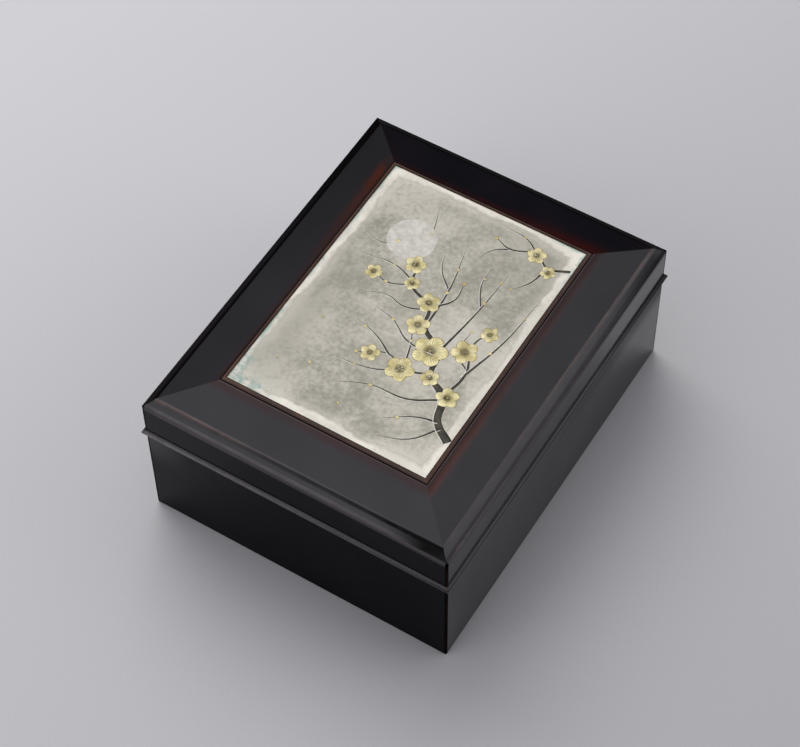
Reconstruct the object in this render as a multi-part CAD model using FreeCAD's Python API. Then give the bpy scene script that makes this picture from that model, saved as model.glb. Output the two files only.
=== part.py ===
import FreeCAD, Part
import os

# A lacquered writing box with an inset metal plaque, its lift-off lid and its fittings.
# Millimetres. +Z is up, +Y runs along the box to its back, and the origin is the centre of its
# underside. The inside is sized to what the box holds, and the outside follows from it.

# Clearances
SLIP = 0.85              # round a tray or board that drops in between walls
RECESS_CLEARANCE = 0.4   # round a stone or dropper in its recess
ROUND_CLEARANCE = 0.3    # round a brush or awl in its notch, and inside a brush cap
LIP_CLEARANCE = 0.3      # between the body's lip and the lid's walls

# Inkstone
STONE_WIDTH = 68.0
STONE_LENGTH = 118.0
STONE_HEIGHT = 17.0
STONE_CORNER = 3.0
STONE_RIM = 4.5
GRIND_DEPTH = 3.0        # from the rim down to the grinding flat
WELL_DEPTH = 9.5         # from the rim down to the bottom of the well
WELL_LENGTH = 17.0
WELL_RAMP = 20.0         # run of the slope between flat and well
WELL_CORNER = 6.0

# Water dropper
DROPPER_WIDTH = 52.0
DROPPER_LENGTH = 38.0
DROPPER_HEIGHT = 17.0
DROPPER_CORNER = 5.0
DROPPER_WALL = 1.0
DROPPER_TOP = 1.2
DROPPER_MOUTH_RADIUS = 3.2   # filling hole, which a fingertip closes
DROPPER_SPOUT_RADIUS = 1.1
DROPPER_SPOUT_INSET = 9.0

# Brushes: the shaft, the collar that grips the hair, the hair and the cap over it
SHAFT_LENGTH = 112.0
COLLAR_LENGTH = 12.0
HAIR_LENGTH = 28.0
HAIR_ROOT = 5.0          # hair held inside the collar, and spigot on the shaft's end
HAIR_BELLY = 0.35        # how far the hair swells past its root
HAIR_TIP_RADIUS = 0.35
COLLAR_WALL = 0.8
CAP_WALL = 1.1
CAP_END = 3.0
CAP_TIP_GAP = 2.0        # inside the cap, past the hair's tip
CAP_CLEAR = 2.6          # past the hair's tip when the cap is drawn off
BRUSH_END_GAP = 3.0
SHAFT_SHOULDER = 0.7     # the shaft is this much thicker in radius than its collar
COLLAR_RADII = {"large": 4.0, "small": 3.2}

# Ink stick, paper knife and awl
INK_WIDTH = 15.0
INK_LENGTH = 75.0
INK_HEIGHT = 9.0
INK_ROUND = 1.2
KNIFE_WIDTH = 9.0
KNIFE_HEIGHT = 6.0
KNIFE_ROUND = 1.5
HANDLE_LENGTH = 96.0
BLADE_LENGTH = 54.0
BLADE_TANG = 14.0
BLADE_THICKNESS = 1.2
BLADE_WIDTH = 7.0
AWL_HANDLE_LENGTH = 62.0
AWL_HANDLE_RADIUS = 4.4
AWL_NECK_RADIUS = 2.6
NEEDLE_LENGTH = 44.0
NEEDLE_TANG = 12.0
NEEDLE_RADIUS = 1.1
NEEDLE_TIP_RADIUS = 0.2

# Lift-out trays, one each side of the stone
TRAY_INSIDE_WIDTH = 34.9
TRAY_HEIGHT = 24.0
TRAY_WALL = 3.0
TRAY_FLOOR = 2.5
TRAY_CORNER = 1.5         # upright corners, outside
TRAY_RIM_ROUND = 0.6
STONE_GAP = 8.0          # from the stone to the tray beside it
REST_HEIGHT = 8.0        # battens that the brushes and tools lie in
REST_THICKNESS = 5.0
INK_SEAT = 3.5           # how deep the ink stick lies in its battens
KNIFE_SEAT = 3.0

# Board under the stone and trays, and the runners that carry it
BOARD_THICKNESS = 5.0
BOARD_RECESS = 2.0
RUNNER_WIDTH = 5.0
RUNNER_HEIGHT = 4.0
PAPER_DEPTH = 28.0       # the space for paper, from the bottom board to the runners

# Body
BODY_WALL = 6.9
BOTTOM_THICKNESS = 6.0
TRAY_BELOW_RIM = 2.2
CORNER_RADIUS = 0.8      # the box's upright corners
FOOT_ROUND = 0.6
LIP_THICKNESS = 2.4      # let into the inside of the body's walls
LIP_RISE = 5.0
LIP_DEPTH = 12.0
LIP_ROUND = 0.8
BEAD_HEIGHT = 4.0        # half-round bead below the seam
BEAD_PROUD = 1.7

# Lid
BODY_SET_BACK = 0.15     # the body's walls stand this far inside the lid's
LID_WALL_HEIGHT = 18.8
LINING_THICKNESS = 2.0
RAIL_EDGE = 2.2          # upright edge of a rail, above the lid's wall
BAND_WIDTH = 5.4         # hollow moulding along the rail's outer edge
BAND_RISE = 4.1
BAND_HOLLOW = 0.6
SHOULDER_ROUND = 0.4
ARRIS_ROUND = 0.8
SLOPE_WIDTH = 23.8
SLOPE_RISE = 5.5
GROOVE_WIDTH = 0.6       # between the rails and the moulding round the plaque
GROOVE_DEPTH = 0.9
MOULDING_WIDTH = 2.1
MOULDING_EDGE = 1.3      # upright outer face of that moulding, from the groove's floor
MOULDING_PROUD = 0.4     # above the plaque's face
PLAQUE_STEP = 0.9        # the plaque's face above the rails' inner edge
PLAQUE_THICKNESS = 1.2

# Heights, from the floor up
Z_PAPER = BOTTOM_THICKNESS
Z_RUNNER = Z_PAPER + PAPER_DEPTH
Z_BOARD = Z_RUNNER + RUNNER_HEIGHT
Z_TRAY = Z_BOARD + BOARD_THICKNESS
Z_RECESS = Z_TRAY - BOARD_RECESS
Z_TRAY_INSIDE = Z_TRAY + TRAY_FLOOR
Z_REST = Z_TRAY_INSIDE + REST_HEIGHT
Z_SEAM = Z_TRAY + TRAY_HEIGHT + TRAY_BELOW_RIM
Z_RAIL = Z_SEAM + LID_WALL_HEIGHT
Z_SHOULDER = Z_RAIL + RAIL_EDGE
Z_ARRIS = Z_SHOULDER + BAND_RISE
Z_CREST = Z_ARRIS + SLOPE_RISE
Z_GROOVE = Z_CREST - GROOVE_DEPTH
Z_PLAQUE = Z_CREST + PLAQUE_STEP
Z_TOP = Z_PLAQUE + MOULDING_PROUD

# Lengths of a capped brush, and half sizes of the box
HEAD_LENGTH = COLLAR_LENGTH + HAIR_LENGTH
CAPPED_LENGTH = SHAFT_LENGTH + HEAD_LENGTH + CAP_TIP_GAP + CAP_END
CAP_TRAVEL = HEAD_LENGTH + CAP_CLEAR
TRAY_INSIDE_LENGTH = CAPPED_LENGTH + CAP_TRAVEL + 2 * BRUSH_END_GAP
CHANNEL_X = STONE_WIDTH / 2 + STONE_GAP
TRAY_X = CHANNEL_X + TRAY_WALL + TRAY_INSIDE_WIDTH / 2
INNER_X = CHANNEL_X + 2 * TRAY_WALL + TRAY_INSIDE_WIDTH + SLIP
INNER_Y = TRAY_INSIDE_LENGTH / 2 + TRAY_WALL + SLIP
BODY_X = INNER_X + BODY_WALL
BODY_Y = INNER_Y + BODY_WALL
LID_X = BODY_X + BODY_SET_BACK
LID_Y = BODY_Y + BODY_SET_BACK
LIP_X = INNER_X + LIP_THICKNESS
LIP_Y = INNER_Y + LIP_THICKNESS
LID_INNER_X = LIP_X + LIP_CLEARANCE
LID_INNER_Y = LIP_Y + LIP_CLEARANCE
PANEL_X = LID_X - BAND_WIDTH - SLOPE_WIDTH
PANEL_Y = LID_Y - BAND_WIDTH - SLOPE_WIDTH
MOULDING_X = PANEL_X - GROOVE_WIDTH
MOULDING_Y = PANEL_Y - GROOVE_WIDTH
PLAQUE_X = MOULDING_X - MOULDING_WIDTH
PLAQUE_Y = MOULDING_Y - MOULDING_WIDTH

SIDES = ("front", "right", "back", "left")   # in quarter turns from the front
OVERRUN = 10.0           # how far a cutting shape runs past what it cuts
ORIGIN = FreeCAD.Vector(0, 0, 0)
UP = FreeCAD.Vector(0, 0, 1)

pieces = {}


def box(x0, x1, y0, y1, z0, z1):
    """A box between two corners."""
    return Part.makeBox(x1 - x0, y1 - y0, z1 - z0, FreeCAD.Vector(x0, y0, z0))


def centred_box(half_x, half_y, z0, z1):
    """A box centred on the upright axis."""
    return box(-half_x, half_x, -half_y, half_y, z0, z1)


def upright_edges(shape):
    """The edges of a shape that run straight up."""
    found = []
    for edge in shape.Edges:
        ends = [vertex.Point for vertex in edge.Vertexes]
        if len(ends) == 2 and abs(abs((ends[1] - ends[0]).normalize().z) - 1) < 1e-6:
            found.append(edge)
    return found


def edges_at_height(shape, z):
    """The edges of a shape that lie at one height."""
    bounds = [(edge, edge.BoundBox) for edge in shape.Edges]
    return [edge for edge, b in bounds if abs(b.ZMin - z) < 1e-4 and abs(b.ZMax - z) < 1e-4]


def rounded_block(x, y, half_x, half_y, radius, z0, z1):
    """A block centred on x, y with rounded upright corners."""
    block = box(x - half_x, x + half_x, y - half_y, y + half_y, z0, z1)
    return block.makeFillet(radius, upright_edges(block))


def face_of(edges):
    """A flat face inside a closed chain of edges."""
    return Part.Face(Part.Wire(Part.__sortEdges__([edge.toShape() for edge in edges])))


def section_point(inset, z):
    """A point of a frame's section: its distance in from the outer face, and its height."""
    return FreeCAD.Vector(0, inset, z)


def chain(points):
    """Straight edges from point to point."""
    return [Part.LineSegment(a, b) for a, b in zip(points, points[1:])]


def turned(shape, side):
    """Turns a shape made for the front side round to another side."""
    shape.rotate(ORIGIN, UP, 90 * SIDES.index(side))
    return shape


def side_lengths(side, half_x, half_y):
    """A frame's half length along one side, and its half size across it."""
    return (half_x, half_y) if side in ("front", "back") else (half_y, half_x)


def mitre_wedge(side, half_x, half_y, z0, z1):
    """The space between the two mitre planes at the ends of one side."""
    along, across = side_lengths(side, half_x, half_y)
    reach = min(half_x, half_y) - 1
    corners = [(-along - OVERRUN, -across - OVERRUN), (along + OVERRUN, -across - OVERRUN),
               (along - reach, -across + reach), (-along + reach, -across + reach)]
    points = [FreeCAD.Vector(x, y, z0) for x, y in corners]
    wedge = Part.Face(Part.makePolygon(points + points[:1])).extrude(UP * (z1 - z0))
    return turned(wedge, side)


def only_solid(shape):
    """The one solid of a cut shape, with its split faces joined."""
    return shape.removeSplitter().Solids[0]


def mitred_quarters(ring, name, half_x, half_y, x=0):
    """Cuts a closed frame along its mitres and keeps its four strips, moved across to x."""
    low, high = ring.BoundBox.ZMin - OVERRUN, ring.BoundBox.ZMax + OVERRUN
    for side in SIDES:
        strip = only_solid(ring.common(mitre_wedge(side, half_x, half_y, low, high)))
        strip.translate(FreeCAD.Vector(x, 0, 0))
        pieces[name.format(side)] = strip


def straight_strip(side, half_x, half_y, section):
    """Runs a section along one side of a frame, past both its corners."""
    along, across = side_lengths(side, half_x, half_y)
    face = section.copy()
    face.translate(FreeCAD.Vector(-along - OVERRUN, -across, 0))
    return turned(face.extrude(FreeCAD.Vector(2 * (along + OVERRUN), 0, 0)), side)


def spread(widths, low, high):
    """Centres of things of the given widths, set out with equal gaps."""
    gap = (high - low - sum(widths)) / (len(widths) + 1)
    centres = []
    edge = low
    for width in widths:
        centres.append(edge + gap + width / 2)
        edge += gap + width
    return centres


def bar_along_y(x, z, y0, y1, radius, end_radius=None):
    """A round bar along Y, straight or tapering to end_radius."""
    start = FreeCAD.Vector(x, y0, z)
    along = FreeCAD.Vector(0, 1, 0)
    if end_radius is None or abs(end_radius - radius) < 1e-6:
        return Part.makeCylinder(radius, y1 - y0, start, along)
    return Part.makeCone(radius, end_radius, y1 - y0, start, along)


def make_body():
    """The four walls, bottom board, lip, bead and runners."""
    bead_foot = Z_SEAM - BEAD_HEIGHT
    shell = rounded_block(0, 0, BODY_X, BODY_Y, CORNER_RADIUS, 0, bead_foot)
    shell = shell.makeFillet(FOOT_ROUND, edges_at_height(shell, 0))
    shell = shell.fuse(centred_box(BODY_X, BODY_Y, bead_foot, Z_SEAM))   # square behind the bead
    shell = shell.cut(centred_box(INNER_X, INNER_Y, -OVERRUN, Z_SEAM + OVERRUN))
    shell = shell.cut(centred_box(LIP_X, LIP_Y, Z_SEAM - LIP_DEPTH, Z_SEAM + OVERRUN))
    mitred_quarters(shell, "body_{}_wall", BODY_X, BODY_Y)

    pieces["bottom_board"] = centred_box(INNER_X, INNER_Y, 0, BOTTOM_THICKNESS)

    lip_top = Z_SEAM + LIP_RISE
    lip = centred_box(LIP_X, LIP_Y, Z_SEAM - LIP_DEPTH, lip_top)
    lip = lip.makeFillet(LIP_ROUND, edges_at_height(lip, lip_top))
    lip = lip.cut(centred_box(INNER_X, INNER_Y, Z_SEAM - LIP_DEPTH - OVERRUN, lip_top + OVERRUN))
    mitred_quarters(lip, "locating_lip_{}", LIP_X, LIP_Y)

    for side in SIDES:
        pieces["seam_bead_" + side] = bead_strip(side)

    for side, sign in (("left", -1), ("right", 1)):
        x_edges = sorted((sign * INNER_X, sign * (INNER_X - RUNNER_WIDTH)))
        pieces["board_runner_" + side] = box(*x_edges, -INNER_Y, INNER_Y, Z_RUNNER, Z_BOARD)


def bead_strip(side):
    """One side of the half-round bead, mitred at both ends."""
    top = section_point(0, Z_SEAM)
    crest = section_point(-BEAD_PROUD, Z_SEAM - BEAD_HEIGHT / 2)
    foot = section_point(0, Z_SEAM - BEAD_HEIGHT)
    section = face_of([Part.Arc(top, crest, foot), Part.LineSegment(foot, top)])
    wedge = mitre_wedge(side, BODY_X, BODY_Y, foot.z - OVERRUN, top.z + OVERRUN)
    return only_solid(straight_strip(side, BODY_X, BODY_Y, section).common(wedge))


def make_lid():
    """The lid's walls, moulded rails, lining, centre panel, plaque and its moulding."""
    walls = rounded_block(0, 0, LID_X, LID_Y, CORNER_RADIUS, Z_SEAM, Z_RAIL)
    walls = walls.makeFillet(SHOULDER_ROUND, edges_at_height(walls, Z_SEAM))
    walls = walls.cut(centred_box(LID_INNER_X, LID_INNER_Y, Z_SEAM - OVERRUN, Z_RAIL + OVERRUN))
    mitred_quarters(walls, "lid_{}_wall", LID_X, LID_Y)

    lining_z = Z_RAIL - LINING_THICKNESS
    pieces["lid_lining"] = centred_box(LID_INNER_X, LID_INNER_Y, lining_z, Z_RAIL)

    outline = rounded_block(0, 0, LID_X, LID_Y, CORNER_RADIUS, Z_RAIL, Z_TOP)
    for side in SIDES:
        wedge = mitre_wedge(side, LID_X, LID_Y, Z_RAIL - OVERRUN, Z_TOP + OVERRUN)
        rail = rail_bar(side).common(wedge).common(outline)
        pieces["lid_{}_rail".format(side)] = only_solid(rail)

    panel = centred_box(PANEL_X, PANEL_Y, Z_RAIL, Z_GROOVE)
    seat = centred_box(PLAQUE_X, PLAQUE_Y, Z_GROOVE, Z_PLAQUE - PLAQUE_THICKNESS)
    pieces["centre_panel"] = only_solid(panel.fuse(seat))

    section = moulding_section()
    for side in SIDES:
        wedge = mitre_wedge(side, MOULDING_X, MOULDING_Y, Z_GROOVE - OVERRUN, Z_TOP + OVERRUN)
        strip = straight_strip(side, MOULDING_X, MOULDING_Y, section)
        pieces["plaque_moulding_" + side] = only_solid(strip.common(wedge))

    pieces["plaque"] = centred_box(PLAQUE_X, PLAQUE_Y, Z_PLAQUE - PLAQUE_THICKNESS, Z_PLAQUE)


def rail_bar(side):
    """One rail before its mitres: upright edge, hollow band, rounded arris and long slope."""
    shoulder = section_point(0, Z_SHOULDER)
    arris = section_point(BAND_WIDTH, Z_ARRIS)
    across_band = arris - shoulder
    inward = FreeCAD.Vector(0, across_band.z, -across_band.y).normalize()
    hollow = (shoulder + arris) * 0.5 + inward * BAND_HOLLOW
    crest = section_point(BAND_WIDTH + SLOPE_WIDTH, Z_CREST)
    inner_foot = section_point(BAND_WIDTH + SLOPE_WIDTH, Z_RAIL)
    outer_foot = section_point(0, Z_RAIL)
    edges = [Part.Arc(shoulder, hollow, arris)]
    edges += chain([arris, crest, inner_foot, outer_foot, shoulder])
    bar = straight_strip(side, LID_X, LID_Y, face_of(edges))
    bar = bar.makeFillet(ARRIS_ROUND, edges_at_height(bar, Z_ARRIS))
    return bar.makeFillet(SHOULDER_ROUND, edges_at_height(bar, Z_SHOULDER))


def moulding_section():
    """The section of the moulding that frames the plaque."""
    foot = section_point(0, Z_GROOVE)
    edge = section_point(0, Z_GROOVE + MOULDING_EDGE)
    top = section_point(MOULDING_WIDTH, Z_TOP)
    inner_foot = section_point(MOULDING_WIDTH, Z_GROOVE)
    bulge = (edge + top) * 0.5 + FreeCAD.Vector(0, -1, 2).normalize() * MOULDING_PROUD / 2
    return face_of([Part.Arc(edge, bulge, top)] + chain([top, inner_foot, foot, edge]))


def make_board_and_stone():
    """The board with its two recesses, the inkstone and the water dropper."""
    board_x = INNER_X - SLIP
    board_y = INNER_Y - SLIP
    stone_y, dropper_y = spread([STONE_LENGTH, DROPPER_LENGTH], -board_y, board_y)
    seats = [(stone_y, STONE_WIDTH, STONE_LENGTH, STONE_CORNER),
             (dropper_y, DROPPER_WIDTH, DROPPER_LENGTH, DROPPER_CORNER)]
    board = centred_box(board_x, board_y, Z_BOARD, Z_TRAY)
    for y, width, length, corner in seats:
        half_x = width / 2 + RECESS_CLEARANCE
        half_y = length / 2 + RECESS_CLEARANCE
        radius = corner + RECESS_CLEARANCE
        board = board.cut(rounded_block(0, y, half_x, half_y, radius, Z_RECESS, Z_TRAY + OVERRUN))
    pieces["inkstone_board"] = board.Solids[0]
    pieces["inkstone"] = inkstone(stone_y)
    make_dropper(dropper_y)


def inkstone(y):
    """A rimmed stone with a grinding flat that runs down into a well at its back."""
    top = Z_RECESS + STONE_HEIGHT
    half_x = STONE_WIDTH / 2
    half_y = STONE_LENGTH / 2
    block = rounded_block(0, y, half_x, half_y, STONE_CORNER, Z_RECESS, top)
    near = y - half_y + STONE_RIM
    far = y + half_y - STONE_RIM
    well = far - WELL_LENGTH
    outline = [(near, top - GRIND_DEPTH), (well - WELL_RAMP, top - GRIND_DEPTH),
               (well, top - WELL_DEPTH), (far, top - WELL_DEPTH),
               (far, top + OVERRUN), (near, top + OVERRUN)]
    points = [FreeCAD.Vector(STONE_RIM - half_x, along, z) for along, z in outline]
    hollow = Part.Face(Part.makePolygon(points + points[:1]))
    hollow = hollow.extrude(FreeCAD.Vector(STONE_WIDTH - 2 * STONE_RIM, 0, 0))
    rounding = rounded_block(0, y, half_x - STONE_RIM, half_y - STONE_RIM, WELL_CORNER,
                             Z_RECESS, top + OVERRUN)
    return block.cut(hollow.common(rounding)).Solids[0]


def make_dropper(y):
    """A small metal water vessel with a filling hole and a pouring hole in its top plate."""
    top = Z_RECESS + DROPPER_HEIGHT
    half_x = DROPPER_WIDTH / 2
    half_y = DROPPER_LENGTH / 2
    joint = top - DROPPER_TOP
    body = rounded_block(0, y, half_x, half_y, DROPPER_CORNER, Z_RECESS, joint)
    hollow = rounded_block(0, y, half_x - DROPPER_WALL, half_y - DROPPER_WALL,
                           DROPPER_CORNER - DROPPER_WALL, Z_RECESS + DROPPER_WALL, joint + OVERRUN)
    pieces["dropper_body"] = body.cut(hollow).Solids[0]
    plate = rounded_block(0, y, half_x, half_y, DROPPER_CORNER, joint, top)
    spout_x = half_x - DROPPER_SPOUT_INSET
    spout_y = y + half_y - DROPPER_SPOUT_INSET
    for x, hole_y, radius in ((0, y, DROPPER_MOUTH_RADIUS), (spout_x, spout_y, DROPPER_SPOUT_RADIUS)):
        start = FreeCAD.Vector(x, hole_y, joint - OVERRUN)
        plate = plate.cut(Part.makeCylinder(radius, 2 * OVERRUN, start))
    pieces["dropper_top"] = plate.Solids[0]


def make_tray(side, sign):
    """The floor and four mitred walls of one tray."""
    inside_x = TRAY_INSIDE_WIDTH / 2
    inside_y = TRAY_INSIDE_LENGTH / 2
    outside_x = inside_x + TRAY_WALL
    outside_y = inside_y + TRAY_WALL
    x = sign * TRAY_X
    rim = Z_TRAY + TRAY_HEIGHT
    pieces[side + "_tray_floor"] = box(x - inside_x, x + inside_x, -inside_y, inside_y,
                                       Z_TRAY, Z_TRAY_INSIDE)
    walls = rounded_block(0, 0, outside_x, outside_y, TRAY_CORNER, Z_TRAY, rim)
    walls = walls.cut(centred_box(inside_x, inside_y, Z_TRAY - OVERRUN, rim + OVERRUN))
    walls = walls.makeFillet(TRAY_RIM_ROUND, edges_at_height(walls, rim))
    mitred_quarters(walls, side + "_tray_{}_wall", outside_x, outside_y, x)


def rest_battens(sign, stations, notches):
    """Battens across a tray, notched for what lies in them."""
    x = sign * TRAY_X
    half_x = TRAY_INSIDE_WIDTH / 2
    battens = []
    for y in stations:
        half_y = REST_THICKNESS / 2
        batten = box(x - half_x, x + half_x, y - half_y, y + half_y, Z_TRAY_INSIDE, Z_REST)
        for notch in notches:
            batten = batten.cut(notch)
        battens += batten.Solids
    return Part.makeCompound(battens)


def shaft_radius(collar_radius):
    """The shaft's radius at the shoulder that the cap meets."""
    return collar_radius + SHAFT_SHOULDER


def cap_radius(collar_radius):
    """The outer radius of a brush cap."""
    return collar_radius + ROUND_CLEARANCE + CAP_WALL


def make_brush(name, x, collar_radius):
    """A brush along Y: shaft, collar, hair and the cap that slides off towards the back."""
    start = -TRAY_INSIDE_LENGTH / 2 + BRUSH_END_GAP
    shoulder = start + SHAFT_LENGTH
    collar_end = shoulder + COLLAR_LENGTH
    tip = shoulder + HEAD_LENGTH
    root = collar_radius - COLLAR_WALL
    shaft = bar_along_y(x, Z_REST, start, shoulder, shaft_radius(collar_radius))
    shaft = shaft.fuse(bar_along_y(x, Z_REST, shoulder, shoulder + HAIR_ROOT, root))
    pieces[name + "_shaft"] = only_solid(shaft)

    collar = bar_along_y(x, Z_REST, shoulder, collar_end, collar_radius)
    collar = collar.cut(bar_along_y(x, Z_REST, shoulder - 1, collar_end + 1, root))
    pieces[name + "_collar"] = only_solid(collar)

    pieces[name + "_hair"] = hair(x, collar_end, tip, root)

    inner_end = tip + CAP_TIP_GAP
    cap = bar_along_y(x, Z_REST, shoulder + ROUND_CLEARANCE, inner_end + CAP_END,
                      cap_radius(collar_radius))
    bore = bar_along_y(x, Z_REST, shoulder - 1, inner_end, collar_radius + ROUND_CLEARANCE)
    pieces[name + "_cap"] = only_solid(cap.cut(bore))


def hair(x, collar_end, tip, root):
    """The hair, which swells a little past the collar and runs to a fine tip."""
    length = tip - collar_end
    belly = root + HAIR_BELLY
    outline = Part.BSplineCurve()
    outline.interpolate([FreeCAD.Vector(x + root, collar_end, Z_REST),
                         FreeCAD.Vector(x + belly, collar_end + length * 0.3, Z_REST),
                         FreeCAD.Vector(x + root * 0.55, collar_end + length * 0.75, Z_REST),
                         FreeCAD.Vector(x + HAIR_TIP_RADIUS, tip, Z_REST)])
    axis_tip = FreeCAD.Vector(x, tip, Z_REST)
    axis_root = FreeCAD.Vector(x, collar_end - HAIR_ROOT, Z_REST)
    root_corner = FreeCAD.Vector(x + root, collar_end - HAIR_ROOT, Z_REST)
    ends = chain([outline.EndPoint, axis_tip, axis_root, root_corner, outline.StartPoint])
    half = face_of([outline] + ends)
    return half.revolve(axis_root, FreeCAD.Vector(0, 1, 0), 360).Solids[0]


def make_left_tray():
    """The tray with the two brushes."""
    make_tray("left", -1)
    inside_x = TRAY_INSIDE_WIDTH / 2
    widths = [2 * cap_radius(radius) for radius in COLLAR_RADII.values()]
    centres = spread(widths, -TRAY_X - inside_x, -TRAY_X + inside_x)
    notches = []
    for (size, radius), x in zip(COLLAR_RADII.items(), centres):
        make_brush(size + "_brush", x, radius)
        notch_radius = shaft_radius(radius) + ROUND_CLEARANCE
        notches.append(bar_along_y(x, Z_REST, -INNER_Y, INNER_Y, notch_radius))
    shaft_centre = -TRAY_INSIDE_LENGTH / 2 + BRUSH_END_GAP + SHAFT_LENGTH / 2
    stations = [shaft_centre - SHAFT_LENGTH / 3, shaft_centre + SHAFT_LENGTH / 3]
    pieces["left_tray_rests"] = rest_battens(-1, stations, notches)


def make_right_tray():
    """The tray with the ink stick, the awl behind it and the paper knife beside them."""
    make_tray("right", 1)
    inside_x = TRAY_INSIDE_WIDTH / 2
    inside_y = TRAY_INSIDE_LENGTH / 2
    ink_x, knife_x = spread([INK_WIDTH, KNIFE_WIDTH], TRAY_X - inside_x, TRAY_X + inside_x)

    ink_start = BRUSH_END_GAP - inside_y
    ink_z = Z_REST - INK_SEAT
    ink_y = ink_start + INK_LENGTH / 2
    ink = rounded_block(ink_x, ink_y, INK_WIDTH / 2, INK_LENGTH / 2, INK_ROUND,
                        ink_z, ink_z + INK_HEIGHT)
    pieces["ink_stick"] = ink.makeFillet(INK_ROUND / 2, edges_at_height(ink, ink_z + INK_HEIGHT))

    awl_tip = inside_y - BRUSH_END_GAP
    awl_y = awl_tip - NEEDLE_LENGTH - AWL_HANDLE_LENGTH / 2
    make_awl(ink_x, awl_tip)
    knife_z = Z_REST - KNIFE_SEAT
    make_knife(knife_x, knife_z)

    fit = RECESS_CLEARANCE
    ink_half = INK_WIDTH / 2 + fit
    ink_end = ink_start + INK_LENGTH + fit
    knife_half = KNIFE_WIDTH / 2 + fit
    notches = [box(ink_x - ink_half, ink_x + ink_half, -INNER_Y, ink_end, ink_z, Z_REST + 1),
               box(knife_x - knife_half, knife_x + knife_half, -INNER_Y, INNER_Y, knife_z, Z_REST + 1),
               bar_along_y(ink_x, Z_REST, ink_end, INNER_Y, AWL_HANDLE_RADIUS + ROUND_CLEARANCE)]
    stations = [ink_y - INK_LENGTH / 4, ink_y + INK_LENGTH / 4,
                awl_y - AWL_HANDLE_LENGTH / 4, awl_y + AWL_HANDLE_LENGTH / 4]
    pieces["right_tray_rests"] = rest_battens(1, stations, notches)


def make_awl(x, tip):
    """A steel needle in a turned handle that tapers to its neck."""
    neck = tip - NEEDLE_LENGTH
    start = neck - AWL_HANDLE_LENGTH
    middle = (start + neck) / 2
    handle = bar_along_y(x, Z_REST, start, middle, AWL_HANDLE_RADIUS)
    handle = handle.fuse(bar_along_y(x, Z_REST, middle, neck, AWL_HANDLE_RADIUS, AWL_NECK_RADIUS))
    tang = bar_along_y(x, Z_REST, neck - NEEDLE_TANG, neck, NEEDLE_RADIUS)
    pieces["awl_handle"] = only_solid(handle.cut(tang))
    point = bar_along_y(x, Z_REST, neck, tip, NEEDLE_RADIUS, NEEDLE_TIP_RADIUS)
    pieces["awl_needle"] = only_solid(tang.fuse(point))


def make_knife(x, z):
    """A paper knife: a rounded handle with a slot for the tang of its pointed blade."""
    start = -(HANDLE_LENGTH + BLADE_LENGTH) / 2
    neck = start + HANDLE_LENGTH
    handle = box(x - KNIFE_WIDTH / 2, x + KNIFE_WIDTH / 2, start, neck, z, z + KNIFE_HEIGHT)
    long_edges = [edge for edge in handle.Edges if abs(edge.Length - HANDLE_LENGTH) < 1e-6]
    handle = handle.makeFillet(KNIFE_ROUND, long_edges)
    low = z + (KNIFE_HEIGHT - BLADE_THICKNESS) / 2
    half = BLADE_WIDTH / 2
    tang = box(x - half / 2, x + half / 2, neck - BLADE_TANG, neck, low, low + BLADE_THICKNESS)
    pieces["knife_handle"] = only_solid(handle.cut(tang))
    tip = neck + BLADE_LENGTH
    outline = [(x - half, neck), (x + half, neck), (x + half, tip - 2 * BLADE_WIDTH),
               (x - half, tip)]
    points = [FreeCAD.Vector(px, py, low) for px, py in outline]
    blade = Part.Face(Part.makePolygon(points + points[:1])).extrude(UP * BLADE_THICKNESS)
    pieces["knife_blade"] = only_solid(blade.fuse(tang))


def report():
    """Prints the sizes that the record needs, and any piece that isn't a sound solid."""
    whole = Part.makeCompound(list(pieces.values())).BoundBox
    print("pieces", len(pieces))
    print("size", round(whole.XLength, 3), round(whole.YLength, 3), round(whole.ZLength, 3))
    print("lid", 2 * LID_X, 2 * LID_Y, "seam", Z_SEAM, "shoulder", Z_SHOULDER, "plaque",
          2 * PLAQUE_X, 2 * PLAQUE_Y, Z_PLAQUE)
    print("cap travel", CAP_TRAVEL)
    for name, shape in pieces.items():
        if not shape.isValid() or not shape.Solids:
            print("unsound", name)


make_body()
make_lid()
make_board_and_stone()
make_left_tray()
make_right_tray()
report()
os.makedirs("parts", exist_ok=True)
for name, shape in pieces.items():
    shape.exportStep("parts/" + name + ".step")
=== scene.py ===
"""A lacquered writing box: its finishes, the relief on its plaque, the brush hair and a plain studio."""
import logging
import math
import random
from collections.abc import Iterable, Sequence
from dataclasses import dataclass, field
from enum import Enum

import bmesh
import bpy
from mathutils import Matrix, Vector


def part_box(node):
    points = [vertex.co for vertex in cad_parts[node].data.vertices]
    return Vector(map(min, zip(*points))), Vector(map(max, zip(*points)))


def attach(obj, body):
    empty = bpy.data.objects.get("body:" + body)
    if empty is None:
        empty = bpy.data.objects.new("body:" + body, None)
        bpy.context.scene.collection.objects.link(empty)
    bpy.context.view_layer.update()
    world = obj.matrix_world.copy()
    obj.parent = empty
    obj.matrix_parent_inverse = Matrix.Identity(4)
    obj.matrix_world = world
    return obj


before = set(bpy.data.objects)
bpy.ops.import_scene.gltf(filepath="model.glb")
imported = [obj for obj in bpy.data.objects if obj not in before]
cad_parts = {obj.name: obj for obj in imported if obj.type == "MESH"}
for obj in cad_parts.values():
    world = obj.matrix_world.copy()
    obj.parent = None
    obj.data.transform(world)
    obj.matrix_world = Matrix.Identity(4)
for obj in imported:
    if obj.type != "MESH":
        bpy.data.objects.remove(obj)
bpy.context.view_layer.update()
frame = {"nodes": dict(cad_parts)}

MM = 0.001
Socket = bpy.types.NodeSocket
Node = bpy.types.Node
Value = float | int | bool | tuple | Socket
Colour = tuple[float, float, float, float]
log = logging.getLogger("writing_box")


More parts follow.
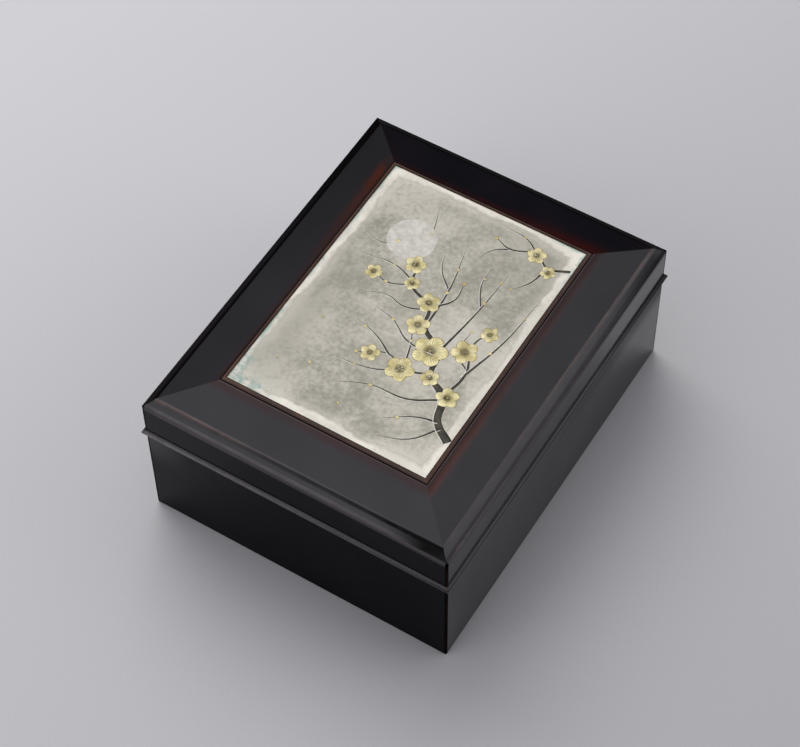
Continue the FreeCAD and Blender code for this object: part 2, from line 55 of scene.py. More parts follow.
def shade(red: float, green: float, blue: float) -> Colour:
    """Turns a colour as a screen shows it into a linear one.

    Args:
        red: Red, 0 to 255.
        green: Green, 0 to 255.
        blue: Blue, 0 to 255.

    Returns:
        The linear colour, with full alpha.
    """
    parts = []
    for part in (red, green, blue):
        part /= 255
        parts.append(part / 12.92 if part <= 0.04045 else ((part + 0.055) / 1.055) ** 2.4)
    return (*parts, 1.0)


BLACK = shade(6, 5, 5)
SEAM = 69.2 * MM


class Side(Enum):
    """The four sides of the box."""

    FRONT = "front"
    RIGHT = "right"
    BACK = "back"
    LEFT = "left"


# ---------------------------------------------------------------------------------------------
# Node graphs
# ---------------------------------------------------------------------------------------------


class Graph:
    """A shader or geometry node tree, with short calls that add nodes and join them."""

    def __init__(self, tree: bpy.types.NodeTree) -> None:
        """Takes the tree that the nodes go into.

        Args:
            tree: A material's, world's or group's tree.
        """
        self.tree = tree

    def node(self, kind: str, inputs: dict[str | int, Value] | None = None, **settings: object) -> Node:
        """Adds a node, sets its properties, and sets or links its inputs.

        Args:
            kind: The node's type name.
            inputs: What each named or numbered input gets: a value, or an output to link.
            **settings: The node's own properties.

        Returns:
            The new node.
        """
        node = self.tree.nodes.new(kind)
        for name, value in settings.items():
            setattr(node, name, value)
        for key, value in (inputs or {}).items():
            self.feed(node.inputs[key], value)
        return node

    def feed(self, socket: Socket, value: Value) -> None:
        """Sets an input, or links it where the value is an output.

        Args:
            socket: The input.
            value: What it gets.
        """
        if isinstance(value, bpy.types.NodeSocket):
            self.tree.links.new(value, socket)
        else:
            socket.default_value = value

    def maths(self, operation: str, *values: Value, clamp: bool = False) -> Socket:
        """Works out a number from one to three others."""
        node = self.node("ShaderNodeMath", dict(enumerate(values)), operation=operation, use_clamp=clamp)
        return node.outputs[0]

    def fade(self, value: Value, start: Value, end: Value, low: Value = 0.0, high: Value = 1.0) -> Socket:
        """Runs smoothly from low to high as the value goes from start to end."""
        node = self.node("ShaderNodeMapRange", {0: value, 1: start, 2: end, 3: low, 4: high},
                         interpolation_type="SMOOTHSTEP")
        return node.outputs[0]

    def fade_line(self, value: Value, start: Value, end: Value) -> Socket:
        """Runs evenly from 0 to 1 as the value goes from start to end."""
        return self.node("ShaderNodeMapRange", {0: value, 1: start, 2: end}).outputs[0]

    def mix(self, factor: Value, first: Value, second: Value) -> Socket:
        """Mixes two colours."""
        node = self.node("ShaderNodeMix", {0: factor, 6: first, 7: second}, data_type="RGBA")
        return node.outputs[2]

    def blend(self, factor: Value, first: Value, second: Value) -> Socket:
        """Mixes two numbers."""
        return self.node("ShaderNodeMix", {0: factor, 2: first, 3: second}, data_type="FLOAT").outputs[0]

    def noise(self, scale: Value, detail: float = 4.0, roughness: float = 0.5, where: Value | None = None,
              distortion: float = 0.0) -> Socket:
        """A cloudy pattern from 0 to 1.

        Args:
            scale: How many clouds there are to a metre, or to a unit of the place.
            detail: How many finer layers lie on the broadest one.
            roughness: How strong the finer layers are.
            where: The place to read it at, the object's own coordinates if none is given.
            distortion: How far the clouds are dragged about.

        Returns:
            The pattern.
        """
        place = self.place() if where is None else where
        node = self.node("ShaderNodeTexNoise", {"Vector": place, "Scale": scale, "Detail": detail,
                                                "Roughness": roughness, "Distortion": distortion})
        return node.outputs[0]

    def place(self) -> Socket:
        """The point's place in the object's own coordinates, in metres."""
        found = self.tree.nodes.get("Place") or self.node("ShaderNodeTexCoord", name="Place")
        return found.outputs["Object"]

    def axes(self) -> tuple[Socket, Socket, Socket]:
        """Splits the point's place.

        Returns:
            Its x, y and z.
        """
        found = self.tree.nodes.get("Axes")
        if found is None:
            found = self.node("ShaderNodeSeparateXYZ", {0: self.place()}, name="Axes")
        return found.outputs[0], found.outputs[1], found.outputs[2]

    def length(self, x: Value, y: Value) -> Socket:
        """The length of a step of x and y."""
        return self.maths("SQRT", self.maths("ADD", self.maths("POWER", x, 2.0), self.maths("POWER", y, 2.0)))

    def stretched(self, x: float, y: float, z: float) -> Socket:
        """The point's place, scaled along each axis, so that a pattern on it runs long or short."""
        node = self.node("ShaderNodeMapping", {"Vector": self.place(), "Scale": (x, y, z)})
        return node.outputs[0]

    def bump(self, height: Value, distance: float, strength: float = 1.0) -> Socket:
        """A normal that follows a height pattern.

        Args:
            height: The pattern, from 0 to 1.
            distance: How high its tops stand, in metres.
            strength: How much of it shows, from 0 to 1.

        Returns:
            The normal.
        """
        node = self.node("ShaderNodeBump", {"Height": height, "Distance": distance, "Strength": strength})
        return node.outputs[0]


class Effect:
    """A shader node group that several finishes use, built once."""

    name: str = "effect"
    inputs: dict[str, float] = {}
    outputs: tuple[str, ...] = ()

    def __init__(self) -> None:
        """Builds the group with its named inputs and outputs."""
        tree = bpy.data.node_groups.new(self.name, "ShaderNodeTree")
        for name, value in self.inputs.items():
            socket = tree.interface.new_socket(name=name, in_out="INPUT", socket_type="NodeSocketFloat")
            socket.default_value = value
        for name in self.outputs:
            tree.interface.new_socket(name=name, in_out="OUTPUT", socket_type="NodeSocketFloat")
        graph = Graph(tree)
        entry = graph.node("NodeGroupInput")
        results = self.build(graph, {name: entry.outputs[name] for name in self.inputs})
        graph.node("NodeGroupOutput", results)
        self.tree = tree

    def build(self, graph: Graph, given: dict[str, Socket]) -> dict[str | int, Value]:
        """Adds the group's nodes.

        Args:
            graph: The group's tree.
            given: Its inputs by name.

        Returns:
            What each output gets.
        """
        raise NotImplementedError

    def use(self, graph: Graph, **values: Value) -> dict[str, Socket]:
        """Places the group in a material.

        Args:
            graph: The material's tree.
            **values: Inputs by name, with low lines for spaces.

        Returns:
            The group's outputs by name.
        """
        inputs = {name.replace("_", " "): value for name, value in values.items()}
        node = graph.node("ShaderNodeGroup", node_tree=self.tree)
        for name, value in inputs.items():
            graph.feed(node.inputs[name], value)
        return {name: node.outputs[name] for name in self.outputs}


class FrameDistance(Effect):
    """Distances to the outer faces, corners and mitres of a rectangle round the upright axis."""

    name = "frame_distance"
    inputs = {"half x": 0.09, "half y": 0.11}
    outputs = ("inset", "corner", "mitre")

    def build(self, graph: Graph, given: dict[str, Socket]) -> dict[str | int, Value]:
        """Measures both ways in from the rectangle's sides.

        Args:
            graph: The group's tree.
            given: Its inputs by name.

        Returns:
            What each output gets.
        """
        x, y, _ = graph.axes()
        in_x = graph.maths("SUBTRACT", given["half x"], graph.maths("ABSOLUTE", x))
        in_y = graph.maths("SUBTRACT", given["half y"], graph.maths("ABSOLUTE", y))
        return {"inset": graph.maths("MINIMUM", in_x, in_y), "corner": graph.maths("MAXIMUM", in_x, in_y),
                "mitre": graph.maths("ABSOLUTE", graph.maths("SUBTRACT", in_x, in_y))}


class WearAndLightLine(Effect):
    """A mask along a line, for wear, stains and painted light: full within its core, gone at its reach beyond that, and
    broken into patches.
    """

    name = "wear_and_light_line"
    inputs = {"distance": 0.0, "core": 0.0, "reach": 0.001, "fall": 1.0, "patchiness": 0.5, "scale": 90.0,
              "amount": 1.0}
    outputs = ("mask",)

    def build(self, graph: Graph, given: dict[str, Socket]) -> dict[str | int, Value]:
        """Fades with distance, on an edge that wanders, and lets the patches through.

        Args:
            graph: The group's tree.
            given: Its inputs by name.

        Returns:
            What each output gets.
        """
        wander = graph.fade(graph.noise(graph.maths("MULTIPLY", given["scale"], 6.0), 3.0), 0.25, 0.75, -0.5, 0.5)
        swing = graph.maths("MULTIPLY_ADD", wander, graph.maths("MULTIPLY", given["patchiness"], 1.2, clamp=True), 1.0)
        reach = graph.maths("MULTIPLY", given["reach"], swing)
        past = graph.maths("SUBTRACT", graph.maths("ABSOLUTE", given["distance"]), given["core"])
        near = graph.maths("POWER", graph.fade(past, 0.0, reach, 1.0, 0.0), given["fall"])
        patches = graph.fade(graph.noise(given["scale"], 5.0, 0.6), 0.38, 0.62)
        shown = graph.maths("SUBTRACT", 1.0, graph.maths("MULTIPLY", given["patchiness"],
                                                         graph.maths("SUBTRACT", 1.0, patches)))
        mask = graph.maths("MULTIPLY", graph.maths("MULTIPLY", near, shown), given["amount"], clamp=True)
        return {"mask": mask}


class Polish(Effect):
    """How a rubbed surface varies: its roughness, and fine marks as a height."""

    name = "polish"
    inputs = {"roughness": 0.2, "variation": 0.06, "scale": 40.0}
    outputs = ("roughness", "height")

    def build(self, graph: Graph, given: dict[str, Socket]) -> dict[str | int, Value]:
        """Mixes broad clouds with fine grain.

        Args:
            graph: The group's tree.
            given: Its inputs by name.

        Returns:
            What each output gets.
        """
        clouds = graph.noise(given["scale"], 5.0, 0.6)
        grain = graph.noise(graph.maths("MULTIPLY", given["scale"], 30.0), 2.0)
        both = graph.maths("ADD", graph.maths("MULTIPLY", clouds, 0.7), graph.maths("MULTIPLY", grain, 0.3))
        swing = graph.maths("MULTIPLY", graph.maths("SUBTRACT", both, 0.5), given["variation"])
        return {"roughness": graph.maths("MULTIPLY_ADD", swing, 2.0, given["roughness"], clamp=True),
                "height": both}


class Flakes(Effect):
    """Sprinkled flakes: a mask of where they lie, and a tone that differs from flake to flake."""

    name = "flakes"
    inputs = {"per metre": 1400.0, "size": 0.35, "cover": 0.4}
    outputs = ("mask", "tone")

    def build(self, graph: Graph, given: dict[str, Socket]) -> dict[str | int, Value]:
        """Keeps a share of the cells, and the middle of each.

        Args:
            graph: The group's tree.
            given: Its inputs by name.

        Returns:
            What each output gets.
        """
        cells = graph.node("ShaderNodeTexVoronoi", {"Vector": graph.place(), "Scale": given["per metre"]})
        parts = graph.node("ShaderNodeSeparateColor", {0: cells.outputs["Color"]})
        kept = graph.maths("LESS_THAN", parts.outputs[0], given["cover"])
        size = graph.maths("MULTIPLY", given["size"], graph.fade(parts.outputs[1], 0.0, 1.0, 0.5, 1.2))
        inside = graph.maths("LESS_THAN", cells.outputs["Distance"], size)
        return {"mask": graph.maths("MULTIPLY", kept, inside), "tone": parts.outputs[2]}


@dataclass
class Effects:
    """The groups that the finishes share."""

    frame: FrameDistance = field(default_factory=FrameDistance)
    # Its line masks serve wear and stains, and also painted highlights, reflections and shade.
    worn: WearAndLightLine = field(default_factory=WearAndLightLine)
    polish: Polish = field(default_factory=Polish)
    flakes: Flakes = field(default_factory=Flakes)


# ---------------------------------------------------------------------------------------------
# Finishes
# ---------------------------------------------------------------------------------------------


class Finish:
    """A procedural material. A finish sets the uniform values on its shader and feeds the rest."""

    name: str

    def make(self, effects: Effects) -> bpy.types.Material:
        """Builds the material.

        Args:
            effects: The shared groups.

        Returns:
            The new material.
        """
        material = bpy.data.materials.new(self.name)
        material.use_nodes = True
        shader = material.node_tree.nodes["Principled BSDF"]
        self.fill(Graph(material.node_tree), shader, effects)
        return material

    def fill(self, graph: Graph, shader: Node, effects: Effects) -> None:
        """Sets and feeds the shader.

        Args:
            graph: The material's tree.
            shader: Its Principled shader.
            effects: The shared groups.
        """
        raise NotImplementedError


class Measure(Enum):
    """What a line of wear, glow or painted light is measured from."""

    INSET = "inset"
    CORNER = "corner"
    MITRE = "mitre"
    HEIGHT = "height"


@dataclass(frozen=True)
class WearAndPaintedLight:
    """One line in a lacquer: wear, a red glow, or painted light, that is a painted highlight, reflection or shade.

    It is full within core of the place where its measure has the value at, fades over reach, faster at first where fall
    is over 1, and takes tone. Its strength at a point is amount plus the point's place times lean, so that it can be
    stronger towards one side. Where it is full, the top coat has the weight polish.
    """

    measure: Measure
    at: float
    reach: float
    tone: Colour
    amount: float = 0.8
    patchiness: float = 0.6
    scale: float = 90.0
    lean: tuple[float, float] = (0.0, 0.0)
    core: float = 0.0
    polish: float | None = None
    fall: float = 1.0


@dataclass(frozen=True)
class Lacquer(Finish):
    """A near black ground under a clear polished coat, thinned to its undercoat along worn lines, with light and shade
    painted along others.
    """

    name: str
    half_x: float
    half_y: float
    ground: Colour = shade(10, 9, 14)
    cloud: Colour = shade(17, 14, 19)
    roughness: float = 0.4
    specular: float = 0.0
    coat: float = 0.85
    wear_and_light: tuple[WearAndPaintedLight, ...] = ()

    def fill(self, graph: Graph, shader: Node, effects: Effects) -> None:
        """Clouds the ground colour, lays wear and painted light and shade over it, and polishes it.

        Args:
            graph: The material's tree.
            shader: Its Principled shader.
            effects: The shared groups.
        """
        x, y, z = graph.axes()
        distances = effects.frame.use(graph, half_x=self.half_x, half_y=self.half_y)
        colour = graph.mix(graph.fade(graph.noise(22.0, 5.0, 0.6), 0.4, 0.75), self.ground, self.cloud)
        coat = graph.fade(graph.noise(30.0, 4.0, 0.6), 0.2, 0.8, self.coat * 0.94, self.coat * 1.06)
        # Each line is wear, a red glow, or painted light and shade.
        for wear in self.wear_and_light:
            base = z if wear.measure is Measure.HEIGHT else distances[wear.measure.value]
            amount: Value = wear.amount
            if wear.lean != (0.0, 0.0):
                leaning = graph.maths("MULTIPLY_ADD", x, wear.lean[0], graph.maths("MULTIPLY", y, wear.lean[1]))
                amount = graph.maths("ADD", leaning, wear.amount, clamp=True)
            mask = effects.worn.use(graph, distance=graph.maths("SUBTRACT", base, wear.at), core=wear.core,
                                    reach=wear.reach, fall=wear.fall, patchiness=wear.patchiness, scale=wear.scale,
                                    amount=amount)["mask"]
            colour = graph.mix(mask, colour, wear.tone)
            if wear.polish is not None:
                coat = graph.blend(mask, coat, wear.polish)
        polish = effects.polish.use(graph, roughness=self.roughness, variation=0.08, scale=35.0)
        graph.feed(shader.inputs["Base Color"], colour)
        graph.feed(shader.inputs["Roughness"], polish["roughness"])
        graph.feed(shader.inputs["Coat Weight"], coat)
        graph.feed(shader.inputs["Normal"], graph.bump(polish["height"], 0.012 * MM, 0.35))
        shader.inputs["Specular IOR Level"].default_value = self.specular
        shader.inputs["Coat Roughness"].default_value = 0.14


@dataclass(frozen=True)
class SprinkledLacquer(Finish):
    """Dark lacquer strewn with gold flakes, with a gilt line along rims at one height."""

    name: str
    rim_height: float = 0.0
    ground: Colour = shade(46, 26, 18)
    cloud: Colour = shade(34, 18, 14)
    gold: Colour = shade(205, 160, 84)
    deep_gold: Colour = shade(150, 98, 46)
    cover: float = 0.32

    def fill(self, graph: Graph, shader: Node, effects: Effects) -> None:
        """Strews two sizes of flake under a clear coat, and gilds the rim.

        Args:
            graph: The material's tree.
            shader: Its Principled shader.
            effects: The shared groups.
        """
        _, _, z = graph.axes()
        large = effects.flakes.use(graph, per_metre=1100.0, size=0.42, cover=self.cover)
        small = effects.flakes.use(graph, per_metre=2600.0, size=0.4, cover=self.cover * 0.8)
        mask = graph.maths("MAXIMUM", large["mask"], small["mask"])
        colour = graph.mix(graph.fade(graph.noise(30.0), 0.35, 0.7), self.ground, self.cloud)
        gold = graph.mix(large["tone"], self.gold, self.deep_gold)
        colour = graph.mix(graph.maths("MULTIPLY", mask, 0.85), colour, gold)
        metal: Value = graph.maths("MULTIPLY", mask, 0.7)
        if self.rim_height:
            rim = graph.fade(z, self.rim_height - 0.5 * MM, self.rim_height - 0.2 * MM)
            worn = graph.fade(graph.noise(160.0, 5.0, 0.65), 0.36, 0.5)
            rim = graph.maths("MULTIPLY", rim, worn)
            colour = graph.mix(rim, colour, self.gold)
            metal = graph.maths("MAXIMUM", metal, graph.maths("MULTIPLY", rim, 0.9))
        polish = effects.polish.use(graph, roughness=0.3, variation=0.08, scale=50.0)
        graph.feed(shader.inputs["Base Color"], colour)
        graph.feed(shader.inputs["Metallic"], metal)
        graph.feed(shader.inputs["Roughness"], polish["roughness"])
        graph.feed(shader.inputs["Normal"], graph.bump(mask, 0.03 * MM, 0.4))
        shader.inputs["Coat Weight"].default_value = 0.8
        shader.inputs["Coat Roughness"].default_value = 0.12


@dataclass(frozen=True)
class PatinatedSilver(Finish):
    """The plaque's grey silver alloy: a mottled skin, a pale worn border and a little verdigris."""

    name: str
    half_x: float
    half_y: float
    ground: Colour = shade(198, 194, 179)
    dark: Colour = shade(152, 149, 134)
    pale: Colour = shade(234, 229, 214)
    verdigris: Colour = shade(128, 164, 150)
    crystals: Colour = shade(92, 172, 182)

    def fill(self, graph: Graph, shader: Node, effects: Effects) -> None:
        """Builds the patina up in layers, from broad clouds to specks.

        Args:
            graph: The material's tree.
            shader: Its Principled shader.
            effects: The shared groups.
        """
        distances = effects.frame.use(graph, half_x=self.half_x, half_y=self.half_y)
        clouds = graph.noise(26.0, 6.0, 0.62, distortion=0.4)
        grain = graph.noise(420.0, 4.0, 0.6)
        skin = graph.maths("MULTIPLY_ADD", grain, 0.35, graph.maths("MULTIPLY", clouds, 0.75))
        colour = graph.mix(graph.fade(skin, 0.4, 0.66), self.dark, self.ground)
        colour = self.tone_face(graph, colour)
        colour = self.wear_border(graph, colour, distances)
        colour = self.stain_corners(graph, colour, distances, effects)
        specks = graph.fade(graph.noise(900.0, 2.0), 0.7, 0.74)
        colour = graph.mix(graph.maths("MULTIPLY", specks, 0.5), colour, self.dark)

        polish = effects.polish.use(graph, roughness=0.46, variation=0.12, scale=60.0)
        graph.feed(shader.inputs["Base Color"], colour)
        graph.feed(shader.inputs["Roughness"], polish["roughness"])
        graph.feed(shader.inputs["Normal"], graph.bump(skin, 0.05 * MM, 0.5))
        shader.inputs["Metallic"].default_value = 0.55

    def tone_face(self, graph: Graph, colour: Socket) -> Socket:
        """Dims the face at its left and its back, and brightens its middle.

        Args:
            graph: The material's tree.
            colour: The face's colour so far.

        Returns:
            The new colour.
        """
        x, y, _ = graph.axes()
        along = graph.maths("ABSOLUTE", graph.maths("ADD", y, 22.0 * MM))
        dim_left = graph.maths("MULTIPLY", graph.fade(x, -56.0 * MM, -22.0 * MM, 0.6, 0.0),
                               graph.fade(along, 30.0 * MM, 58.0 * MM, 1.0, 0.0))
        slant = graph.maths("ADD", graph.maths("MULTIPLY", x, 0.7), y)
        dim_back = graph.fade(slant, 40.0 * MM, 105.0 * MM, 0.0, 0.45)
        colour = graph.mix(graph.maths("MAXIMUM", dim_left, dim_back), colour, self.dark)
        from_middle = graph.length(graph.maths("SUBTRACT", x, 8.0 * MM), graph.maths("ADD", y, 12.0 * MM))
        return graph.mix(graph.fade(from_middle, 0.0, 50.0 * MM, 0.13, 0.0), colour, self.pale)

    def wear_border(self, graph: Graph, colour: Socket, distances: dict[str, Socket]) -> Socket:
        """Lays the pale worn border over the face, ragged at its edge and wider at the corners.

        Args:
            graph: The material's tree.
            colour: The face's colour so far.
            distances: How far in from the sides and corners the point is.

        Returns:
            The new colour.
        """
        broad = graph.maths("MULTIPLY_ADD", graph.noise(24.0, 3.0, 0.55), 15.0 * MM, -7.6 * MM)
        ragged = graph.maths("MULTIPLY_ADD", graph.noise(130.0, 8.0, 0.75), 6.6 * MM, -3.3 * MM)
        corners = graph.fade(distances["corner"], 2.0 * MM, 30.0 * MM, 3.2 * MM, 0.0)
        edge = graph.maths("SUBTRACT", graph.maths("ADD", distances["inset"], graph.maths("ADD", broad, ragged)),
                           corners)
        border = graph.fade(edge, 1.5 * MM, 3.6 * MM, 1.0, 0.0)
        halo = graph.fade(edge, 2.0 * MM, 10.5 * MM, 0.34, 0.0)
        from_rim = graph.maths("ABSOLUTE", graph.maths("SUBTRACT", edge, 4.0 * MM))
        rim = graph.fade(from_rim, 0.0, 0.7 * MM, 0.26, 0.0)
        colour = graph.mix(halo, colour, self.pale)
        colour = graph.mix(rim, colour, self.dark)
        thin = graph.fade(graph.noise(46.0, 6.0, 0.7), 0.36, 0.62, 0.42, 1.0)
        return graph.mix(graph.maths("MULTIPLY", border, thin), colour, self.pale)

    def stain_corners(self, graph: Graph, colour: Socket, distances: dict[str, Socket], effects: Effects) -> Socket:
        """Lets verdigris creep in along the left side and the back right corner, and grow at the front left one.

        Args:
            graph: The material's tree.
            colour: The face's colour so far.
            distances: How far in from the sides and corners the point is.
            effects: The shared groups.

        Returns:
            The new colour.
        """
        x, y, _ = graph.axes()
        creep = effects.worn.use(graph, distance=distances["inset"], reach=2.2 * MM, patchiness=1.0, scale=55.0,
                                 amount=0.8)["mask"]
        left = graph.fade(x, 6.0 * MM - self.half_x, 1.0 * MM - self.half_x)
        far_corner = self.half_x + self.half_y
        back = graph.fade(graph.maths("ADD", x, y), far_corner - 30.0 * MM, far_corner - 10.0 * MM)
        colour = graph.mix(graph.maths("MULTIPLY", creep, graph.maths("MAXIMUM", left, back)), colour, self.verdigris)
        from_corner = graph.length(graph.maths("ADD", x, self.half_x), graph.maths("ADD", y, self.half_y))
        damp = graph.maths("MULTIPLY", graph.fade(from_corner, 6.0 * MM, 34.0 * MM, 1.0, 0.0),
                           graph.fade(distances["inset"], 2.5 * MM, 8.5 * MM, 1.0, 0.1))
        stain = graph.maths("MULTIPLY", damp, graph.fade(graph.noise(150.0, 7.0, 0.7), 0.4, 0.56))
        colour = graph.mix(graph.maths("MULTIPLY", damp, 0.25), colour, self.dark)
        colour = graph.mix(graph.maths("MULTIPLY", stain, 0.75), colour, self.verdigris)
        grown = graph.maths("MULTIPLY", damp, graph.fade(graph.noise(420.0, 3.0), 0.6, 0.66))
        return graph.mix(graph.maths("MULTIPLY", grown, 0.8), colour, self.crystals)


@dataclass(frozen=True)
class InlaidMetal(Finish):
    """A metal of the plaque's inlay or of a fitting: gilt, darkened copper or bright-cut silver."""

    name: str
    bright: Colour
    deep: Colour
    roughness: float = 0.32
    metallic: float = 0.9
    scale: float = 300.0
    relief: float = 0.04 * MM

    def fill(self, graph: Graph, shader: Node, effects: Effects) -> None:
        """Lets the deep colour show where the bright one is rubbed.

        Args:
            graph: The material's tree.
            shader: Its Principled shader.
            effects: The shared groups.
        """
        rubbed = graph.fade(graph.noise(self.scale, 5.0, 0.65), 0.32, 0.68)
        polish = effects.polish.use(graph, roughness=self.roughness, variation=0.14, scale=self.scale / 4)
        graph.feed(shader.inputs["Base Color"], graph.mix(rubbed, self.deep, self.bright))
        graph.feed(shader.inputs["Roughness"], polish["roughness"])
        graph.feed(shader.inputs["Normal"], graph.bump(polish["height"], self.relief, 0.6))
        shader.inputs["Metallic"].default_value = self.metallic


@dataclass(frozen=True)
class PetalGilt(Finish):
    """Gilt relief whose petals are engraved with veins, and darken at their rims and round the heart."""

    name: str
    bright: Colour = shade(246, 236, 184)
    middle: Colour = shade(204, 192, 134)
    deep: Colour = shade(116, 104, 62)

    def fill(self, graph: Graph, shader: Node, effects: Effects) -> None:
        """Draws the veins in the flower's own round coordinates, which its mesh carries.

        Args:
            graph: The material's tree.
            shader: Its Principled shader.
            effects: The shared groups.
        """
        place = graph.node("ShaderNodeAttribute", attribute_name="flower_place").outputs["Vector"]
        x, y, z = graph.node("ShaderNodeSeparateXYZ", {0: place}).outputs[:3]
        out = graph.length(x, y)
        waver = graph.maths("MULTIPLY", graph.noise(330.0, 3.0), 10.0)
        veins = graph.maths("SINE", graph.maths("MULTIPLY_ADD", graph.maths("ARCTAN2", y, x), 38.0, waver))
        cut = graph.maths("MULTIPLY", graph.fade(veins, 0.1, 0.9), graph.fade(out, 0.35, 1.0, 0.85, 0.1))
        rim = graph.fade(z, 0.02, 0.16, 0.9, 0.0)
        heart = graph.maths("MULTIPLY", graph.fade(out, 0.2, 0.44, 0.75, 0.0), graph.fade(z, 0.38, 0.44, 1.0, 0.0))
        dark = graph.maths("MAXIMUM", graph.maths("MAXIMUM", cut, rim), heart)
        colour = graph.mix(graph.fade(graph.noise(210.0, 5.0, 0.65), 0.36, 0.62), self.middle, self.bright)
        polish = effects.polish.use(graph, roughness=0.38, variation=0.14, scale=80.0)
        graph.feed(shader.inputs["Base Color"], graph.mix(dark, colour, self.deep))
        graph.feed(shader.inputs["Roughness"], polish["roughness"])
        graph.feed(shader.inputs["Normal"], graph.bump(graph.maths("SUBTRACT", 1.0, cut), 0.08 * MM, 0.7))
        shader.inputs["Metallic"].default_value = 0.65


@dataclass(frozen=True)
class GrainedWood(Finish):
    """Bamboo or hardwood whose fibres run along the box."""

    name: str
    light: Colour
    dark: Colour
    roughness: float = 0.34
    fibres: float = 900.0
    rings: tuple[float, ...] = ()

    def fill(self, graph: Graph, shader: Node, effects: Effects) -> None:
        """Runs fibres lengthwise, stains the wood broadly, and darkens the joints of a cane.

        Args:
            graph: The material's tree.
            shader: Its Principled shader.
            effects: The shared groups.
        """
        _, y, _ = graph.axes()
        fibre = graph.noise(1.0, 4.0, 0.6, where=graph.stretched(self.fibres, self.fibres * 0.012, self.fibres))
        stain = graph.noise(1.0, 5.0, 0.6, where=graph.stretched(90.0, 22.0, 90.0))
        both = graph.maths("MULTIPLY_ADD", fibre, 0.55, graph.maths("MULTIPLY", stain, 0.5))
        colour = graph.mix(graph.fade(both, 0.36, 0.68), self.dark, self.light)
        height: Value = fibre
        for ring in self.rings:
            away = graph.maths("ABSOLUTE", graph.maths("SUBTRACT", y, ring))
            line = graph.fade(away, 0.3 * MM, 0.9 * MM, 1.0, 0.0)
            swell = graph.fade(away, 0.0, 3.0 * MM, 1.0, 0.0)
            colour = graph.mix(graph.maths("MULTIPLY", line, 0.75), colour, self.dark)
            height = graph.maths("ADD", height, graph.maths("SUBTRACT", swell, line))
        polish = effects.polish.use(graph, roughness=self.roughness, variation=0.1, scale=60.0)
        graph.feed(shader.inputs["Base Color"], colour)
        graph.feed(shader.inputs["Roughness"], polish["roughness"])
        graph.feed(shader.inputs["Normal"], graph.bump(height, 0.06 * MM, 0.6))


@dataclass(frozen=True)
class Slate(Finish):
    """A fine dark stone, greyer on its rim, and stained with dried ink down in its hollow."""

    name: str
    rim: float
    flat: float
    ground: Colour = shade(58, 58, 64)
    pale: Colour = shade(84, 84, 90)
    ink: Colour = shade(18, 18, 20)

    def fill(self, graph: Graph, shader: Node, effects: Effects) -> None:
        """Veins the stone, and lets the ink settle where the stone is deep.

        Args:
            graph: The material's tree.
            shader: Its Principled shader.
            effects: The shared groups.
        """
        _, _, z = graph.axes()
        veins = graph.noise(48.0, 7.0, 0.6, distortion=0.8)
        fine = graph.noise(700.0, 3.0)
        colour = graph.mix(graph.fade(veins, 0.42, 0.66), self.ground, self.pale)
        colour = graph.mix(graph.fade(fine, 0.3, 0.8, 0.0, 0.35), colour, self.ground)
        depth = graph.maths("ADD", z, graph.maths("MULTIPLY_ADD", graph.noise(60.0, 4.0), 4.0 * MM, -2.0 * MM))
        settled = graph.fade(depth, self.flat + 0.6 * MM, self.flat - 3.0 * MM)
        film = graph.fade(depth, self.rim - 0.4 * MM, self.flat, 0.0, 0.45)
        stain = graph.maths("MAXIMUM", settled, graph.maths("MULTIPLY", film, graph.fade(veins, 0.35, 0.6)))
        polish = effects.polish.use(graph, roughness=0.52, variation=0.14, scale=70.0)
        graph.feed(shader.inputs["Base Color"], graph.mix(stain, colour, self.ink))
        graph.feed(shader.inputs["Roughness"], graph.blend(settled, polish["roughness"], 0.3))
        graph.feed(shader.inputs["Normal"], graph.bump(fine, 0.05 * MM, 0.5))


@dataclass(frozen=True)
class PressedInk(Finish):
    """A stick of pressed ink: matt black, with a gilt line let in round its top."""

    name: str
    centre: tuple[float, float]
    half: tuple[float, float]
    top: float
    line: float = 1.4 * MM
    line_width: float = 0.8 * MM
    line_edge: float = 0.15 * MM
    ground: Colour = shade(27, 26, 28)
    pale: Colour = shade(40, 38, 40)
    gilt: Colour = shade(188, 150, 84)

    def fill(self, graph: Graph, shader: Node, effects: Effects) -> None:
        """Sinks a frame line into the top and rubs gold into it.

        Args:
            graph: The material's tree.
            shader: Its Principled shader.
            effects: The shared groups.
        """
        x, y, z = graph.axes()
        from_x, from_y = (graph.maths("ABSOLUTE", graph.maths("SUBTRACT", place, centre))
                          for place, centre in zip((x, y), self.centre))
        inset = graph.maths("MINIMUM", graph.maths("SUBTRACT", self.half[0], from_x),
                            graph.maths("SUBTRACT", self.half[1], from_y))
        half_line = self.line_width / 2
        away = graph.maths("ABSOLUTE", graph.maths("SUBTRACT", inset, self.line + half_line))
        band = graph.maths("MULTIPLY", graph.fade(away, half_line - self.line_edge, half_line, 1.0, 0.0),
                           graph.fade(z, self.top - 0.6 * MM, self.top - 0.3 * MM))
        rubbed = graph.maths("MULTIPLY", band, graph.fade(graph.noise(240.0, 4.0), 0.34, 0.5))
        fine = graph.noise(900.0, 3.0)
        colour = graph.mix(graph.fade(graph.noise(45.0, 5.0), 0.4, 0.7), self.ground, self.pale)
        polish = effects.polish.use(graph, roughness=0.5, variation=0.16, scale=80.0)
        graph.feed(shader.inputs["Base Color"], graph.mix(rubbed, colour, self.gilt))
        graph.feed(shader.inputs["Metallic"], graph.maths("MULTIPLY", rubbed, 0.85))
        graph.feed(shader.inputs["Roughness"], polish["roughness"])
        height = graph.maths("SUBTRACT", graph.maths("MULTIPLY", fine, 0.2), band)
        graph.feed(shader.inputs["Normal"], graph.bump(height, 0.2 * MM, 0.6))


